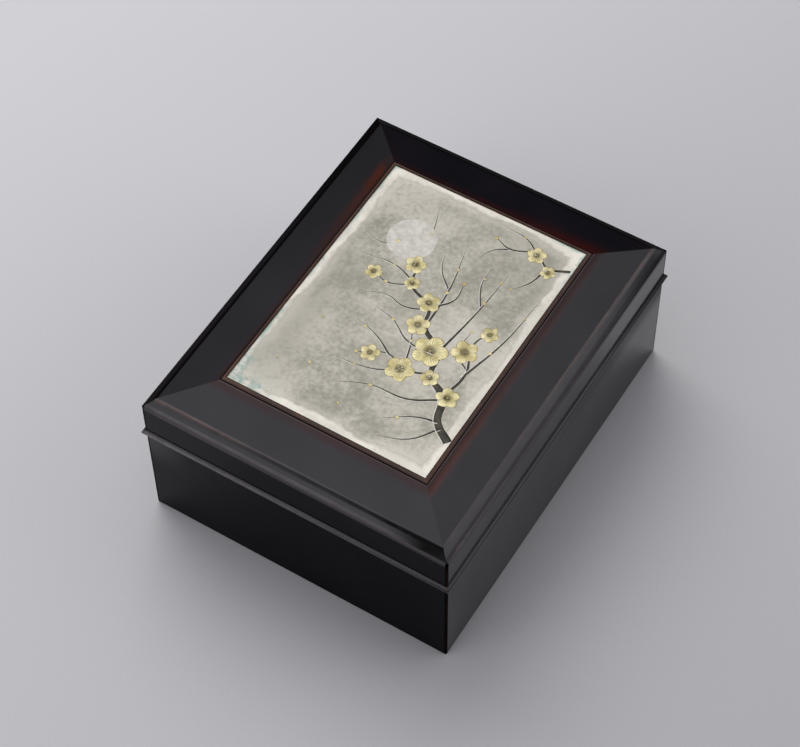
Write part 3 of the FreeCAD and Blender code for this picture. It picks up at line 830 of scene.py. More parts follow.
@dataclass(frozen=True)
class Hair(Finish):
    """Dressed animal hair, paler towards its root and darker at the tip."""

    name: str
    root_y: float
    tip_y: float
    pale: Colour = shade(196, 172, 132)
    dark: Colour = shade(112, 78, 48)

    def fill(self, graph: Graph, shader: Node, effects: Effects) -> None:
        """Streaks each strand lengthwise and darkens the tip.

        Args:
            graph: The material's tree.
            shader: Its Principled shader.
            effects: The shared groups, not used here.
        """
        _, y, _ = graph.axes()
        streaks = graph.noise(1.0, 3.0, 0.6, where=graph.stretched(2600.0, 30.0, 2600.0))
        tip = graph.fade(y, self.root_y, self.tip_y, 0.0, 0.55)
        factor = graph.maths("ADD", tip, graph.fade(streaks, 0.3, 0.7, -0.15, 0.35), clamp=True)
        graph.feed(shader.inputs["Base Color"], graph.mix(factor, self.pale, self.dark))
        graph.feed(shader.inputs["Roughness"], graph.fade(streaks, 0.2, 0.8, 0.42, 0.62))
        graph.feed(shader.inputs["Normal"], graph.bump(streaks, 0.05 * MM, 0.7))
        shader.inputs["Sheen Weight"].default_value = 0.15


# ---------------------------------------------------------------------------------------------
# Pieces
# ---------------------------------------------------------------------------------------------


def dress(material: bpy.types.Material, names: Iterable[str]) -> None:
    """Gives CAD nodes a finish.

    Args:
        material: The finish.
        names: The nodes.
    """
    for name in names:
        node = frame["nodes"][name]
        if not node.material_slots:
            node.data.materials.append(material)
        for material_slot in node.material_slots:
            material_slot.material = material
        log.info("%s: %s", name, material.name)


def add_object(name: str, data: bpy.types.ID | None) -> bpy.types.Object:
    """Makes an object and puts it in the scene.

    Args:
        name: The object's name.
        data: Its mesh, curve, light or camera.

    Returns:
        The new object, at the origin.
    """
    made = bpy.data.objects.new(name, data)
    bpy.context.scene.collection.objects.link(made)
    return made


def each_side(pattern: str) -> list[str]:
    """The names that a pattern gives for the four sides."""
    return [pattern.format(side.value) for side in Side]


class GeometryTree(Graph):
    """A geometry node tree that turns one object into a finished piece."""

    def __init__(self, name: str, inputs: dict[str, tuple[str, Value | None]]) -> None:
        """Makes the tree and its named inputs.

        Args:
            name: The tree's name.
            inputs: Each input's socket type and first value.
        """
        super().__init__(bpy.data.node_groups.new(name, "GeometryNodeTree"))
        self.tree.interface.new_socket(name="Geometry", in_out="INPUT", socket_type="NodeSocketGeometry")
        self.keys: dict[str, str] = {}
        for label, (kind, value) in inputs.items():
            socket = self.tree.interface.new_socket(name=label, in_out="INPUT", socket_type=kind)
            if value is not None:
                socket.default_value = value
            self.keys[label] = socket.identifier
        self.tree.interface.new_socket(name="Geometry", in_out="OUTPUT", socket_type="NodeSocketGeometry")
        self.entry = self.node("NodeGroupInput")

    def given(self, label: str) -> Socket:
        """The tree's input of that name."""
        return self.entry.outputs[label]

    def close(self, geometry: Socket) -> None:
        """Realises the instances, sets the material and ends the tree.

        Args:
            geometry: What the tree has made.
        """
        solid = self.node("GeometryNodeRealizeInstances", {0: geometry}).outputs[0]
        smooth = self.node("GeometryNodeSetShadeSmooth", {"Geometry": solid}).outputs[0]
        dressed = self.node("GeometryNodeSetMaterial", {"Geometry": smooth, "Material": self.given("Material")})
        self.node("NodeGroupOutput", {0: dressed.outputs[0]})

    def grow(self, name: str, source: bpy.types.ID, values: dict[str, object]) -> bpy.types.Object:
        """Runs the tree on some data and keeps the result as a plain mesh object.

        Args:
            name: The new object's name.
            source: The mesh or curve that the tree starts from.
            values: The tree's inputs by name.

        Returns:
            The new object, at the origin.
        """
        seed = add_object(name + ".seed", source)
        modifier = seed.modifiers.new("tree", "NODES")
        modifier.node_group = self.tree
        for label, value in values.items():
            modifier[self.keys[label]] = value
        graph = bpy.context.evaluated_depsgraph_get()
        mesh = bpy.data.meshes.new_from_object(seed.evaluated_get(graph))
        bpy.data.objects.remove(seed)
        mesh.name = name
        return add_object(name, mesh)


def finish_piece(piece: bpy.types.Object, body: str) -> None:
    """Makes a new piece ride on a body and logs it.

    Args:
        piece: The piece, in place.
        body: The body that it moves with.
    """
    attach(piece, body)
    log.info("%s: %d faces on %s", piece.name, len(piece.data.polygons), body)


def corner_black_and_wear(brown: Colour) -> tuple[WearAndPaintedLight, ...]:
    """The marks on a wall's upright corners: black with a dull coat, and brown wear showing through here and there.

    Args:
        brown: The colour that shows through.

    Returns:
        The marks, from the ground up.
    """
    return (
        WearAndPaintedLight(Measure.CORNER, at=0.0, reach=0.8 * MM, tone=BLACK, amount=1.0, patchiness=0.0, core=0.9 * MM,
             polish=0.05),
        WearAndPaintedLight(Measure.CORNER, at=0.0, reach=0.9 * MM, tone=brown, amount=0.3, patchiness=0.95, scale=120.0),
    )


@dataclass
class Body:
    """The box's lower part: walls, bead, lip, bottom board and runners.

    The coats are how strong the clear coat is on each side's wall and bead.
    """

    half_x: float = 90.65 * MM
    half_y: float = 113.55 * MM
    seam: float = SEAM
    corner_brown: Colour = shade(74, 34, 24)
    wall_coats: dict[Side, float] = field(default_factory=lambda: {
        Side.FRONT: 0.2, Side.RIGHT: 0.98, Side.BACK: 0.5, Side.LEFT: 0.6})
    bead_coats: dict[Side, float] = field(default_factory=lambda: {
        Side.FRONT: 0.9, Side.RIGHT: 0.95, Side.BACK: 0.5, Side.LEFT: 0.5})

    def dress(self, effects: Effects) -> None:
        """Lacquers the outside black and sprinkles the inside.

        Args:
            effects: The shared groups.
        """
        for side in Side:
            walls = Lacquer(f"body_lacquer_{side.value}", self.half_x, self.half_y, coat=self.wall_coats[side],
                            wear_and_light=self.wall_wear_and_light(side))
            dress(walls.make(effects), [f"body_{side.value}_wall"])
        for side in Side:
            bead = Lacquer(f"bead_lacquer_{side.value}", self.half_x, self.half_y, ground=shade(14, 10, 12),
                           coat=self.bead_coats[side], wear_and_light=self.bead_wear_and_light(side))
            dress(bead.make(effects), [f"seam_bead_{side.value}"])
        lip = Lacquer("lip_lacquer", self.half_x, self.half_y, wear_and_light=(
            WearAndPaintedLight(Measure.HEIGHT, at=self.seam + 5.0 * MM, reach=0.9 * MM, tone=shade(96, 46, 30), amount=0.6,
                 patchiness=0.5, scale=130.0),
        ))
        dress(lip.make(effects), each_side("locating_lip_{}"))
        inside = SprinkledLacquer("floor_lacquer", cover=0.2)
        dress(inside.make(effects), ["bottom_board", "board_runner_left", "board_runner_right"])

    def wall_wear_and_light(self, side: Side) -> tuple[WearAndPaintedLight, ...]:
        """One wall's painted light, a sheen on the front and a shadow on the right, then its black and brown corners
        and the wear at its foot.

        Args:
            side: The wall's side.

        Returns:
            The lines of wear and painted light, from the lowest layer up.
        """
        painted_light = {
            # Painted sheen: the front is a little paler and more strongly coated towards the left, most of all at its
            # left end near the seam.
            Side.FRONT: (
                WearAndPaintedLight(Measure.HEIGHT, at=50.0 * MM, reach=10.0 * MM, tone=shade(20, 18, 22), amount=0.03,
                     patchiness=0.0, lean=(-5.5, 0.0), core=100.0 * MM, polish=0.5),
                WearAndPaintedLight(Measure.HEIGHT, at=self.seam, reach=26.0 * MM, tone=shade(22, 20, 22), amount=-1.95,
                     patchiness=0.0, lean=(-30.0, 0.0), core=6.0 * MM, polish=1.0),
            ),
            # Painted shadow: the right side is dark under the bead towards the back, with a weaker coat.
            Side.RIGHT: (
                WearAndPaintedLight(Measure.HEIGHT, at=self.seam, reach=16.0 * MM, tone=shade(9, 8, 10), amount=0.08,
                     patchiness=0.0, lean=(0.0, 6.5), core=9.0 * MM, polish=0.3),
            ),
        }.get(side, ())
        return (
            *painted_light, *corner_black_and_wear(self.corner_brown),
            WearAndPaintedLight(Measure.HEIGHT, at=0.2 * MM, reach=0.8 * MM, tone=self.corner_brown, amount=0.3, patchiness=0.9,
                 scale=140.0),
        )

    def bead_wear_and_light(self, side: Side) -> tuple[WearAndPaintedLight, ...]:
        """The bead's painted highlight on the front or painted shade on the right, then its worn lower line and
        corners.

        Args:
            side: The bead's side.

        Returns:
            The lines of wear and painted light, from the lowest layer up.
        """
        tops = {
            # Painted highlight along the bead's top, stronger towards the left.
            Side.FRONT: (
                WearAndPaintedLight(Measure.HEIGHT, at=self.seam - 1.4 * MM, reach=0.8 * MM, tone=shade(142, 135, 134), amount=0.41,
                     patchiness=0.3, scale=70.0, lean=(-4.0, 0.0), core=0.4 * MM, polish=1.0),
            ),
            # Painted shade: the bead darkens and dulls towards the back.
            Side.RIGHT: (
                WearAndPaintedLight(Measure.HEIGHT, at=self.seam, reach=2.0 * MM, tone=BLACK, amount=-0.3, patchiness=0.0,
                     lean=(0.0, 8.5), core=6.0 * MM, polish=0.1),
            ),
        }.get(side, ())
        return (
            *tops,
            WearAndPaintedLight(Measure.HEIGHT, at=self.seam - 2.0 * MM, reach=0.8 * MM, tone=shade(70, 36, 28), amount=0.3,
                 patchiness=0.8, scale=110.0),
            WearAndPaintedLight(Measure.CORNER, at=-1.0 * MM, reach=1.8 * MM, tone=self.corner_brown, amount=0.45, scale=160.0,
                 polish=0.1),
        )


@dataclass
class Lid:
    """The lid: walls, moulded rails, lining, centre panel and the moulding round the plaque.

    The band and the rail are how far in from the walls the hollow band and the whole rail reach. The coats are how
    strong the clear coat is on each side's wall and rail.
    """

    half_x: float = 90.8 * MM
    half_y: float = 113.7 * MM
    seam: float = SEAM
    shoulder: float = 90.2 * MM
    band: float = 5.4 * MM
    rail: float = 29.2 * MM
    wall_coats: dict[Side, float] = field(default_factory=lambda: {
        Side.FRONT: 0.23, Side.RIGHT: 0.95, Side.BACK: 0.5, Side.LEFT: 0.6})
    rail_coats: dict[Side, float] = field(default_factory=lambda: {
        Side.FRONT: 0.9, Side.RIGHT: 0.78, Side.BACK: 0.3, Side.LEFT: 0.84})

    @property
    def glow(self) -> float:
        """How far in the red glow beside the plaque lies."""
        return self.rail - 2.5 * MM

    @property
    def inner_edge_line(self) -> float:
        """How far in the painted line along the rail's inner edge lies: a highlight at the front and right, shade at
        the left.
        """
        return self.rail - 0.2 * MM

    def dress(self, effects: Effects) -> None:
        """Lacquers the lid, with wear and painted light and shade on its edges and a red glow round the plaque.

        Args:
            effects: The shared groups.
        """
        for side in Side:
            walls = Lacquer(f"lid_wall_lacquer_{side.value}", self.half_x, self.half_y, coat=self.wall_coats[side],
                            wear_and_light=self.wall_wear_and_light(side))
            dress(walls.make(effects), [f"lid_{side.value}_wall"])
            rails = Lacquer(f"rail_lacquer_{side.value}", self.half_x, self.half_y, coat=self.rail_coats[side],
                            wear_and_light=self.rail_wear_and_light(side))
            dress(rails.make(effects), [f"lid_{side.value}_rail"])
        dress(Lacquer("panel_lacquer", self.half_x, self.half_y).make(effects), ["centre_panel"])
        moulding = Lacquer("moulding_lacquer", self.half_x, self.half_y, ground=shade(50, 34, 27),
                           cloud=shade(74, 51, 39), coat=0.45, wear_and_light=(
                               # A pale worn line along the moulding's crest, which is partly a painted highlight.
                               WearAndPaintedLight(Measure.INSET, at=self.rail + 1.6 * MM, reach=0.7 * MM, tone=shade(112, 84, 66),
                                    amount=0.5, scale=140.0),
                               # Painted shadow: a black line where the moulding meets the plaque.
                               WearAndPaintedLight(Measure.INSET, at=self.rail + 2.7 * MM, reach=0.5 * MM, tone=BLACK, amount=0.6,
                                    patchiness=0.4, polish=0.1),
                           ))
        dress(moulding.make(effects), each_side("plaque_moulding_{}"))
        dress(SprinkledLacquer("lining_lacquer", cover=0.42).make(effects), ["lid_lining"])

    def wall_wear_and_light(self, side: Side) -> tuple[WearAndPaintedLight, ...]:
        """The front wall's painted sheen at its left, then the black and brown at every wall's corners and the wear
        along its lower edge.

        Args:
            side: The wall's side.

        Returns:
            The wears, from the lowest layer up.
        """
        painted_light = {
            # Painted sheen: the front is a little paler and more strongly coated towards the left.
            Side.FRONT: (
                WearAndPaintedLight(Measure.HEIGHT, at=50.0 * MM, reach=10.0 * MM, tone=shade(20, 18, 22), amount=0.02,
                     patchiness=0.0, lean=(-5.8, 0.0), core=100.0 * MM, polish=0.52),
            ),
        }.get(side, ())
        return (
            *painted_light, *corner_black_and_wear(shade(84, 46, 34)),
            WearAndPaintedLight(Measure.HEIGHT, at=self.seam + 0.2 * MM, reach=0.6 * MM, tone=shade(66, 36, 28), amount=0.4,
                 patchiness=0.8, scale=130.0),
        )

    def rail_wear_and_light(self, side: Side) -> tuple[WearAndPaintedLight, ...]:
        """One rail's own wear and painted light, then its grey ends, its worn shoulder and its black corners.

        Args:
            side: The rail's side.

        Returns:
            The wears, from the lowest layer up.
        """
        own = {Side.FRONT: self.front_wear_and_light, Side.RIGHT: self.right_wear_and_light, Side.BACK: self.back_wear_and_light,
               Side.LEFT: self.left_wear_and_light}[side]()
        ends = {
            Side.FRONT: (
                WearAndPaintedLight(Measure.CORNER, at=0.0, reach=8.0 * MM, tone=shade(26, 24, 26), amount=0.0, patchiness=0.0,
                     lean=(-6.0, 0.0), core=4.0 * MM, polish=0.75),
            ),
            Side.RIGHT: (
                WearAndPaintedLight(Measure.CORNER, at=0.0, reach=8.0 * MM, tone=shade(26, 24, 26), amount=0.5, patchiness=0.0,
                     core=4.0 * MM, polish=0.75),
            ),
        }.get(side, ())
        return (
            *own, *ends,
            WearAndPaintedLight(Measure.HEIGHT, at=self.shoulder, reach=0.5 * MM, tone=shade(84, 50, 38), amount=0.15, scale=130.0,
                 lean=(0.0, -1.4)),
            WearAndPaintedLight(Measure.CORNER, at=0.0, reach=0.9 * MM, tone=BLACK, amount=1.0, patchiness=0.0, core=0.9 * MM,
                 polish=0.0),
        )

    def front_wear_and_light(self) -> tuple[WearAndPaintedLight, ...]:
        """The front rail's wear and painted light.

        Returns:
            The lines of wear and painted light, from the lowest layer up.
        """
        return (
            # The hollow band: a painted highlight on its lip, painted shade along its dark bottom, and a painted
            # highlight where the slope begins.
            WearAndPaintedLight(Measure.INSET, at=1.4 * MM, reach=0.6 * MM, tone=shade(104, 98, 101), amount=0.31, patchiness=0.3,
                 scale=100.0, lean=(-1.0, 0.0), core=0.4 * MM, polish=1.0),
            WearAndPaintedLight(Measure.INSET, at=4.7 * MM, reach=0.7 * MM, tone=BLACK, amount=0.55, patchiness=0.2, scale=80.0,
                 lean=(6.5, 0.0), core=0.4 * MM, polish=0.05),
            WearAndPaintedLight(Measure.INSET, at=self.band + 0.3 * MM, reach=0.6 * MM, tone=shade(96, 88, 88), amount=0.28,
                 patchiness=0.3, lean=(-2.6, 0.0), core=0.2 * MM, polish=1.0),
            # The band goes black at its right end, and tan along its inner edge at the left.
            WearAndPaintedLight(Measure.INSET, at=3.2 * MM, reach=0.9 * MM, tone=BLACK, amount=-2.6, patchiness=0.1, scale=60.0,
                 lean=(48.0, 0.0), core=2.0 * MM, polish=0.1),
            WearAndPaintedLight(Measure.INSET, at=self.band - 0.2 * MM, reach=0.9 * MM, tone=shade(120, 92, 78), amount=0.0,
                 patchiness=0.5, scale=50.0, lean=(-8.0, 0.0)),
            # The glow beside the plaque, and a fine painted highlight along the moulding.
            WearAndPaintedLight(Measure.INSET, at=self.glow + 1.0 * MM, reach=5.8 * MM, tone=shade(54, 18, 14), amount=0.62,
                 patchiness=0.3, scale=30.0, polish=0.46, fall=1.4),
            WearAndPaintedLight(Measure.INSET, at=self.inner_edge_line, reach=0.5 * MM, tone=shade(84, 70, 68), amount=0.6, patchiness=0.3,
                 scale=120.0, lean=(-4.0, 0.0)),
        )

    def right_wear_and_light(self) -> tuple[WearAndPaintedLight, ...]:
        """The right rail's wear and painted light.

        Returns:
            The lines of wear and painted light, from the lowest layer up.
        """
        return (
            # The hollow band in painted reflections: a pale edge, a dark line and a grey one, then a grey hollow that
            # darkens at the back.
            WearAndPaintedLight(Measure.INSET, at=0.6 * MM, reach=0.5 * MM, tone=shade(92, 87, 92), amount=0.3, patchiness=0.2,
                 lean=(0.0, -2.6), core=0.2 * MM, polish=1.0),
            WearAndPaintedLight(Measure.INSET, at=2.4 * MM, reach=0.5 * MM, tone=BLACK, amount=0.05, patchiness=0.3,
                 lean=(0.0, 3.0), core=0.2 * MM, polish=0.3),
            WearAndPaintedLight(Measure.INSET, at=1.5 * MM, reach=0.5 * MM, tone=shade(62, 58, 62), amount=0.4, patchiness=0.2,
                 core=0.2 * MM, polish=1.0),
            WearAndPaintedLight(Measure.INSET, at=4.3 * MM, reach=1.0 * MM, tone=shade(40, 36, 39), amount=0.75, patchiness=0.2,
                 scale=60.0, core=1.4 * MM, polish=0.88),
            WearAndPaintedLight(Measure.INSET, at=3.1 * MM, reach=1.0 * MM, tone=BLACK, amount=-0.4, patchiness=0.2, scale=60.0,
                 lean=(0.0, 11.0), core=1.0 * MM, polish=0.3),
            # A painted grey highlight and worn tan where the slope begins, and the band's black far end.
            WearAndPaintedLight(Measure.INSET, at=self.band, reach=0.8 * MM, tone=shade(70, 65, 67), amount=0.32, patchiness=0.3,
                 scale=60.0, core=0.3 * MM, polish=0.95),
            WearAndPaintedLight(Measure.INSET, at=self.band + 0.5 * MM, reach=1.0 * MM, tone=shade(124, 102, 86), amount=0.22,
                 patchiness=0.45, scale=50.0, lean=(0.0, 1.2)),
            WearAndPaintedLight(Measure.INSET, at=2.2 * MM, reach=1.2 * MM, tone=BLACK, amount=-1.7, patchiness=0.1, scale=60.0,
                 lean=(0.0, 25.0), core=1.6 * MM, polish=0.35),
            # The glow, dark by the plaque and warm beyond, and a fine painted highlight along the moulding.
            WearAndPaintedLight(Measure.INSET, at=self.glow + 1.0 * MM, reach=4.5 * MM, tone=shade(32, 13, 9), amount=0.65,
                 patchiness=0.2, scale=30.0, polish=0.27, fall=1.3),
            WearAndPaintedLight(Measure.INSET, at=self.glow - 0.7 * MM, reach=4.2 * MM, tone=shade(104, 40, 14), amount=0.19,
                 patchiness=0.25, scale=34.0, lean=(0.0, -1.5), fall=1.5),
            WearAndPaintedLight(Measure.INSET, at=self.inner_edge_line, reach=0.5 * MM, tone=shade(88, 68, 66), amount=0.6, patchiness=0.3,
                 scale=120.0),
        )

    def back_wear_and_light(self) -> tuple[WearAndPaintedLight, ...]:
        """The back rail's wear and painted light.

        Returns:
            The lines of wear and painted light, from the lowest layer up.
        """
        return (
            # The hollow band: its coat taken off and its reflection painted in grey, with painted shade at its black
            # inner edge.
            WearAndPaintedLight(Measure.INSET, at=2.0 * MM, reach=0.4 * MM, tone=shade(24, 23, 22), amount=1.0, patchiness=0.0,
                 core=2.4 * MM, polish=0.0),
            WearAndPaintedLight(Measure.INSET, at=self.band - 0.4 * MM, reach=0.8 * MM, tone=BLACK, amount=1.0, patchiness=0.0,
                 core=0.6 * MM, polish=0.0),
            # The glow, stronger to the right, and the brown mitres.
            WearAndPaintedLight(Measure.INSET, at=self.glow - 0.6 * MM, reach=8.0 * MM, tone=shade(58, 12, 6), amount=-0.02,
                 patchiness=0.2, scale=26.0, lean=(6.8, 0.0), polish=0.05, fall=1.3),
            WearAndPaintedLight(Measure.INSET, at=self.glow + 1.2 * MM, reach=3.4 * MM, tone=shade(62, 17, 7), amount=0.25,
                 patchiness=0.3, scale=26.0, lean=(2.2, 0.0), polish=0.1),
            WearAndPaintedLight(Measure.MITRE, at=0.0, reach=12.0 * MM, tone=shade(20, 14, 14), amount=0.35, patchiness=0.0,
                 polish=0.2),
        )

    def left_wear_and_light(self) -> tuple[WearAndPaintedLight, ...]:
        """The left rail's wear and painted light.

        Returns:
            The lines of wear and painted light, from the lowest layer up.
        """
        return (
            # The slope is duller towards the back, where the glow is stronger and the mitre is grey.
            WearAndPaintedLight(Measure.INSET, at=17.0 * MM, reach=1.0 * MM, tone=shade(11, 9, 10), amount=0.08, patchiness=0.0,
                 lean=(0.0, 5.0), core=12.0 * MM, polish=0.35),
            WearAndPaintedLight(Measure.INSET, at=self.glow - 0.2 * MM, reach=7.0 * MM, tone=shade(84, 33, 7), amount=0.0,
                 patchiness=0.25, scale=24.0, lean=(0.0, 7.2), polish=0.08, fall=1.5),
            WearAndPaintedLight(Measure.INSET, at=self.glow + 1.1 * MM, reach=2.6 * MM, tone=shade(58, 25, 16), amount=0.3,
                 patchiness=0.25, scale=30.0, polish=0.2),
            WearAndPaintedLight(Measure.MITRE, at=0.0, reach=9.0 * MM, tone=shade(14, 12, 14), amount=-0.1, patchiness=0.0,
                 lean=(0.0, 11.0), core=4.5 * MM, polish=0.6),
            # The hollow band: its coat taken off and its reflection painted in grey, darker towards the back, with
            # painted shade at its black inner edge.
            WearAndPaintedLight(Measure.INSET, at=1.8 * MM, reach=1.2 * MM, tone=shade(25, 24, 27), amount=1.0, patchiness=0.0,
                 core=2.8 * MM, polish=0.0),
            WearAndPaintedLight(Measure.INSET, at=2.2 * MM, reach=1.0 * MM, tone=shade(11, 10, 11), amount=0.12, patchiness=0.0,
                 lean=(0.0, 12.0), core=2.6 * MM, polish=0.0),
            WearAndPaintedLight(Measure.INSET, at=self.band - 0.4 * MM, reach=0.7 * MM, tone=shade(11, 8, 8), amount=1.0,
                 patchiness=0.0, core=0.9 * MM, polish=0.0),
            # Painted shade in the dark line along the moulding.
            WearAndPaintedLight(Measure.INSET, at=self.inner_edge_line - 0.2 * MM, reach=0.6 * MM, tone=shade(30, 12, 10), amount=0.85,
                 patchiness=0.1, scale=60.0, polish=0.2),
        )


@dataclass
class Stroke:
    """One tapering line of inlay: its points in millimetres on the plaque, and its widths."""

    points: tuple[tuple[float, float], ...]
    start: float
    end: float
    knots: float = 0.0


@dataclass
class Blossom:
    """One flower or bud: its place in millimetres on the plaque, its radius and its turn."""

    x: float
    y: float
    radius: float
    turn: float = 0.0


@dataclass(frozen=True)
class FlowerShape:
    """The parts of a flower of radius 1: how large they are, how far out they lie and how high they stand."""

    petal: float = 0.43
    heart: float = 0.13
    heart_rise: float = 0.3
    stamen: float = 0.055
    stamens: int = 10
    stamen_ring: float = 0.34
    stamen_rise: float = 0.36
    top: float = 0.45


@dataclass
class Plaque:
    """The metal plate and its relief: a leaning plum branch under a plain moon.

    The cuts' gap and widths, and the moon's rings, are in millimetres, but for the rings' first number, which is a
    share of the radius.
    """

    seed: int = 7
    stroke_height: float = 0.2 * MM
    flower_height: float = 0.3 * MM
    cut_gap: float = 0.25
    cut_widths: tuple[float, float] = (0.56, 0.2)
    cut_lift: float = 0.02
    flower: FlowerShape = FlowerShape()
    moon: Blossom = field(default_factory=lambda: Blossom(-25.0, 43.0, 13.5))
    moon_sides: int = 96
    moon_rings: tuple[tuple[float, float], ...] = ((1.0, -0.05), (1.0, 0.03), (0.985, 0.06), (0.95, 0.07))
    branches: tuple[Stroke, ...] = (
        Stroke(((57.5, -58.0), (47.0, -50.0), (41.0, -36.0), (29.0, -27.0), (25.0, -13.0), (11.0, -3.0),
                (6.0, 9.0), (-9.0, 17.0), (-14.0, 29.0), (-30.0, 38.0)), 4.8, 0.7, 0.45),
        Stroke(((29.0, -27.0), (15.0, -31.0), (4.0, -27.0), (-11.0, -34.0)), 1.7, 0.3, 0.4),
        Stroke(((41.0, -36.0), (44.0, -18.0), (38.0, 0.0), (43.0, 14.0)), 1.9, 0.35, 0.4),
        Stroke(((6.0, 9.0), (15.0, 20.0), (14.0, 31.0)), 1.2, 0.25, 0.3),
        Stroke(((-9.0, 17.0), (-22.0, 12.0), (-31.0, 15.0)), 1.0, 0.2, 0.3),
        Stroke(((57.5, 67.0), (46.0, 63.0), (37.0, 68.0), (22.0, 64.0), (13.0, 67.0)), 2.0, 0.3, 0.4),
    )
    shoots: tuple[Stroke, ...] = (
        Stroke(((25.0, -13.0), (29.0, 18.0), (31.0, 50.0)), 1.4, 0.12),
        Stroke(((11.0, -3.0), (9.0, 26.0), (3.0, 52.0)), 1.3, 0.12),
        Stroke(((43.0, -22.0), (51.0, 12.0), (53.0, 40.0)), 1.3, 0.12),
        Stroke(((-14.0, 29.0), (-17.0, 50.0), (-23.0, 68.0)), 1.1, 0.1),
        Stroke(((15.0, -31.0), (9.0, -13.0), (1.0, 0.0)), 1.0, 0.1),
        Stroke(((4.0, -27.0), (-8.0, -20.0), (-23.0, -16.0)), 1.0, 0.1),
        Stroke(((47.0, -50.0), (36.0, -53.0), (22.0, -62.0)), 1.4, 0.15),
        Stroke(((41.0, -38.0), (26.0, -46.0), (6.0, -48.0), (-12.0, -56.0)), 1.4, 0.12),
        Stroke(((50.0, -53.0), (40.0, -66.0), (24.0, -73.0)), 1.3, 0.12),
        Stroke(((25.0, -15.0), (8.0, -15.0), (-6.0, -7.0), (-22.0, -4.0)), 1.1, 0.1),
        Stroke(((6.0, 7.0), (-6.0, 3.0), (-17.0, 5.0), (-30.0, 0.0)), 1.0, 0.1),
        Stroke(((-9.0, 19.0), (-24.0, 24.0), (-42.0, 22.0)), 1.0, 0.1),
        Stroke(((-29.0, 37.0), (-38.0, 33.0), (-48.0, 35.0)), 0.8, 0.1),
        Stroke(((29.3, 22.0), (22.0, 36.0), (21.0, 48.0)), 0.8, 0.1),
        Stroke(((9.0, 24.0), (-1.0, 34.0), (-5.0, 44.0)), 0.8, 0.1),
        Stroke(((44.0, -16.0), (34.0, -8.0), (33.0, 8.0)), 1.0, 0.1),
        Stroke(((46.0, 63.0), (43.0, 50.0), (36.0, 40.0)), 1.3, 0.12),
        Stroke(((37.0, 68.0), (28.0, 74.0), (12.0, 76.0)), 1.1, 0.12),
        Stroke(((23.0, 64.0), (15.0, 58.0), (12.0, 50.0)), 1.0, 0.1),
        Stroke(((15.0, -31.0), (4.0, -38.0), (-8.0, -41.0), (-24.0, -42.0)), 1.0, 0.1),
    )
    flowers: tuple[Blossom, ...] = (
        Blossom(21.0, -14.5, 10.0, 0.3), Blossom(36.5, -6.0, 7.6, 1.1), Blossom(7.0, -3.5, 6.8, 0.7),
        Blossom(13.5, -32.0, 8.2, 0.2), Blossom(4.5, 11.5, 6.6, 0.9), Blossom(-14.5, 29.5, 6.2, 0.4),
        Blossom(42.0, 10.0, 5.0, 1.3), Blossom(-31.0, 14.5, 5.0, 0.1), Blossom(-5.0, -31.0, 5.6, 0.5),
        Blossom(43.5, -35.0, 6.6, 0.8), Blossom(-9.5, 18.0, 4.6, 1.0), Blossom(37.0, 67.5, 5.6, 0.6),
        Blossom(47.5, 60.5, 4.4, 0.0), Blossom(29.5, -29.0, 5.4, 0.9),
    )
    buds: tuple[Blossom, ...] = (
        Blossom(29.4, 26.0, 1.7), Blossom(30.4, 42.0, 1.4), Blossom(9.2, 22.0, 1.7), Blossom(6.4, 38.0, 1.3),
        Blossom(-17.6, 51.0, 1.4), Blossom(48.0, 0.0, 1.6), Blossom(52.4, 28.0, 1.3), Blossom(-11.5, -34.0, 1.7),
        Blossom(14.0, 31.5, 1.8), Blossom(-30.5, 38.5, 1.9), Blossom(9.5, -13.5, 1.3), Blossom(-16.0, -18.0, 1.4),
        Blossom(28.0, -58.0, 1.6), Blossom(43.0, 14.5, 1.7), Blossom(-22.0, 12.0, 1.5), Blossom(6.0, -48.0, 1.6),
        Blossom(-6.0, -7.0, 1.4), Blossom(-24.0, 24.0, 1.3), Blossom(21.8, 40.0, 1.2), Blossom(13.0, 67.0, 1.7),
        Blossom(36.4, 41.0, 1.4), Blossom(26.0, 75.0, 1.4), Blossom(33.0, 7.0, 1.4), Blossom(-8.0, -41.0, 1.3),
    )
    petals_down: tuple[Blossom, ...] = (
        Blossom(-28.0, -52.0, 1.5), Blossom(-38.0, -24.0, 1.2), Blossom(-2.0, -66.0, 1.3), Blossom(-44.0, -58.0, 1.1),
    )
    half_x: float = field(init=False)
    half_y: float = field(init=False)
    face: float = field(init=False)

    def __post_init__(self) -> None:
        """Reads the plate's half sizes and the height of its face."""
        self.half_x, self.half_y, self.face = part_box("plaque")[1]

    def build(self, effects: Effects) -> None:
        """Finishes the plate and lays its relief on it.

        Args:
            effects: The shared groups.
        """
        plate = PatinatedSilver("plaque_silver", self.half_x, self.half_y)
        dress(plate.make(effects), ["plaque"])
        dark = InlaidMetal("inlay_dark", shade(74, 71, 56), shade(36, 35, 27), 0.42, 0.35).make(effects)
        bright = InlaidMetal("inlay_bright", shade(240, 238, 228), shade(206, 202, 190), 0.35, 0.4).make(effects)
        gilt = PetalGilt("inlay_gilt").make(effects)
        plain = InlaidMetal("bud_gilt", shade(240, 228, 172), shade(186, 172, 112), 0.38, 0.65).make(effects)
        pale = InlaidMetal("inlay_moon", shade(214, 211, 200), shade(190, 186, 174), 0.45, 0.5).make(effects)
        self.build_moon(pale)
        strokes = self.stroke_tree()
        self.lay_strokes(strokes, "plaque_branch", [*self.branches, *self.shoots], 0.0, self.stroke_height, dark)
        self.lay_strokes(strokes, "plaque_bright_lines", self.bright_cuts(), self.cut_lift, self.stroke_height * 0.9,
                         bright)
        flowers = self.flower_tree()
        self.lay_flowers(flowers, "plaque_blossoms", self.flowers, 5, 0.56, gilt)
        self.lay_flowers(flowers, "plaque_buds", [*self.buds, *self.petals_down], 4, 0.26, plain)

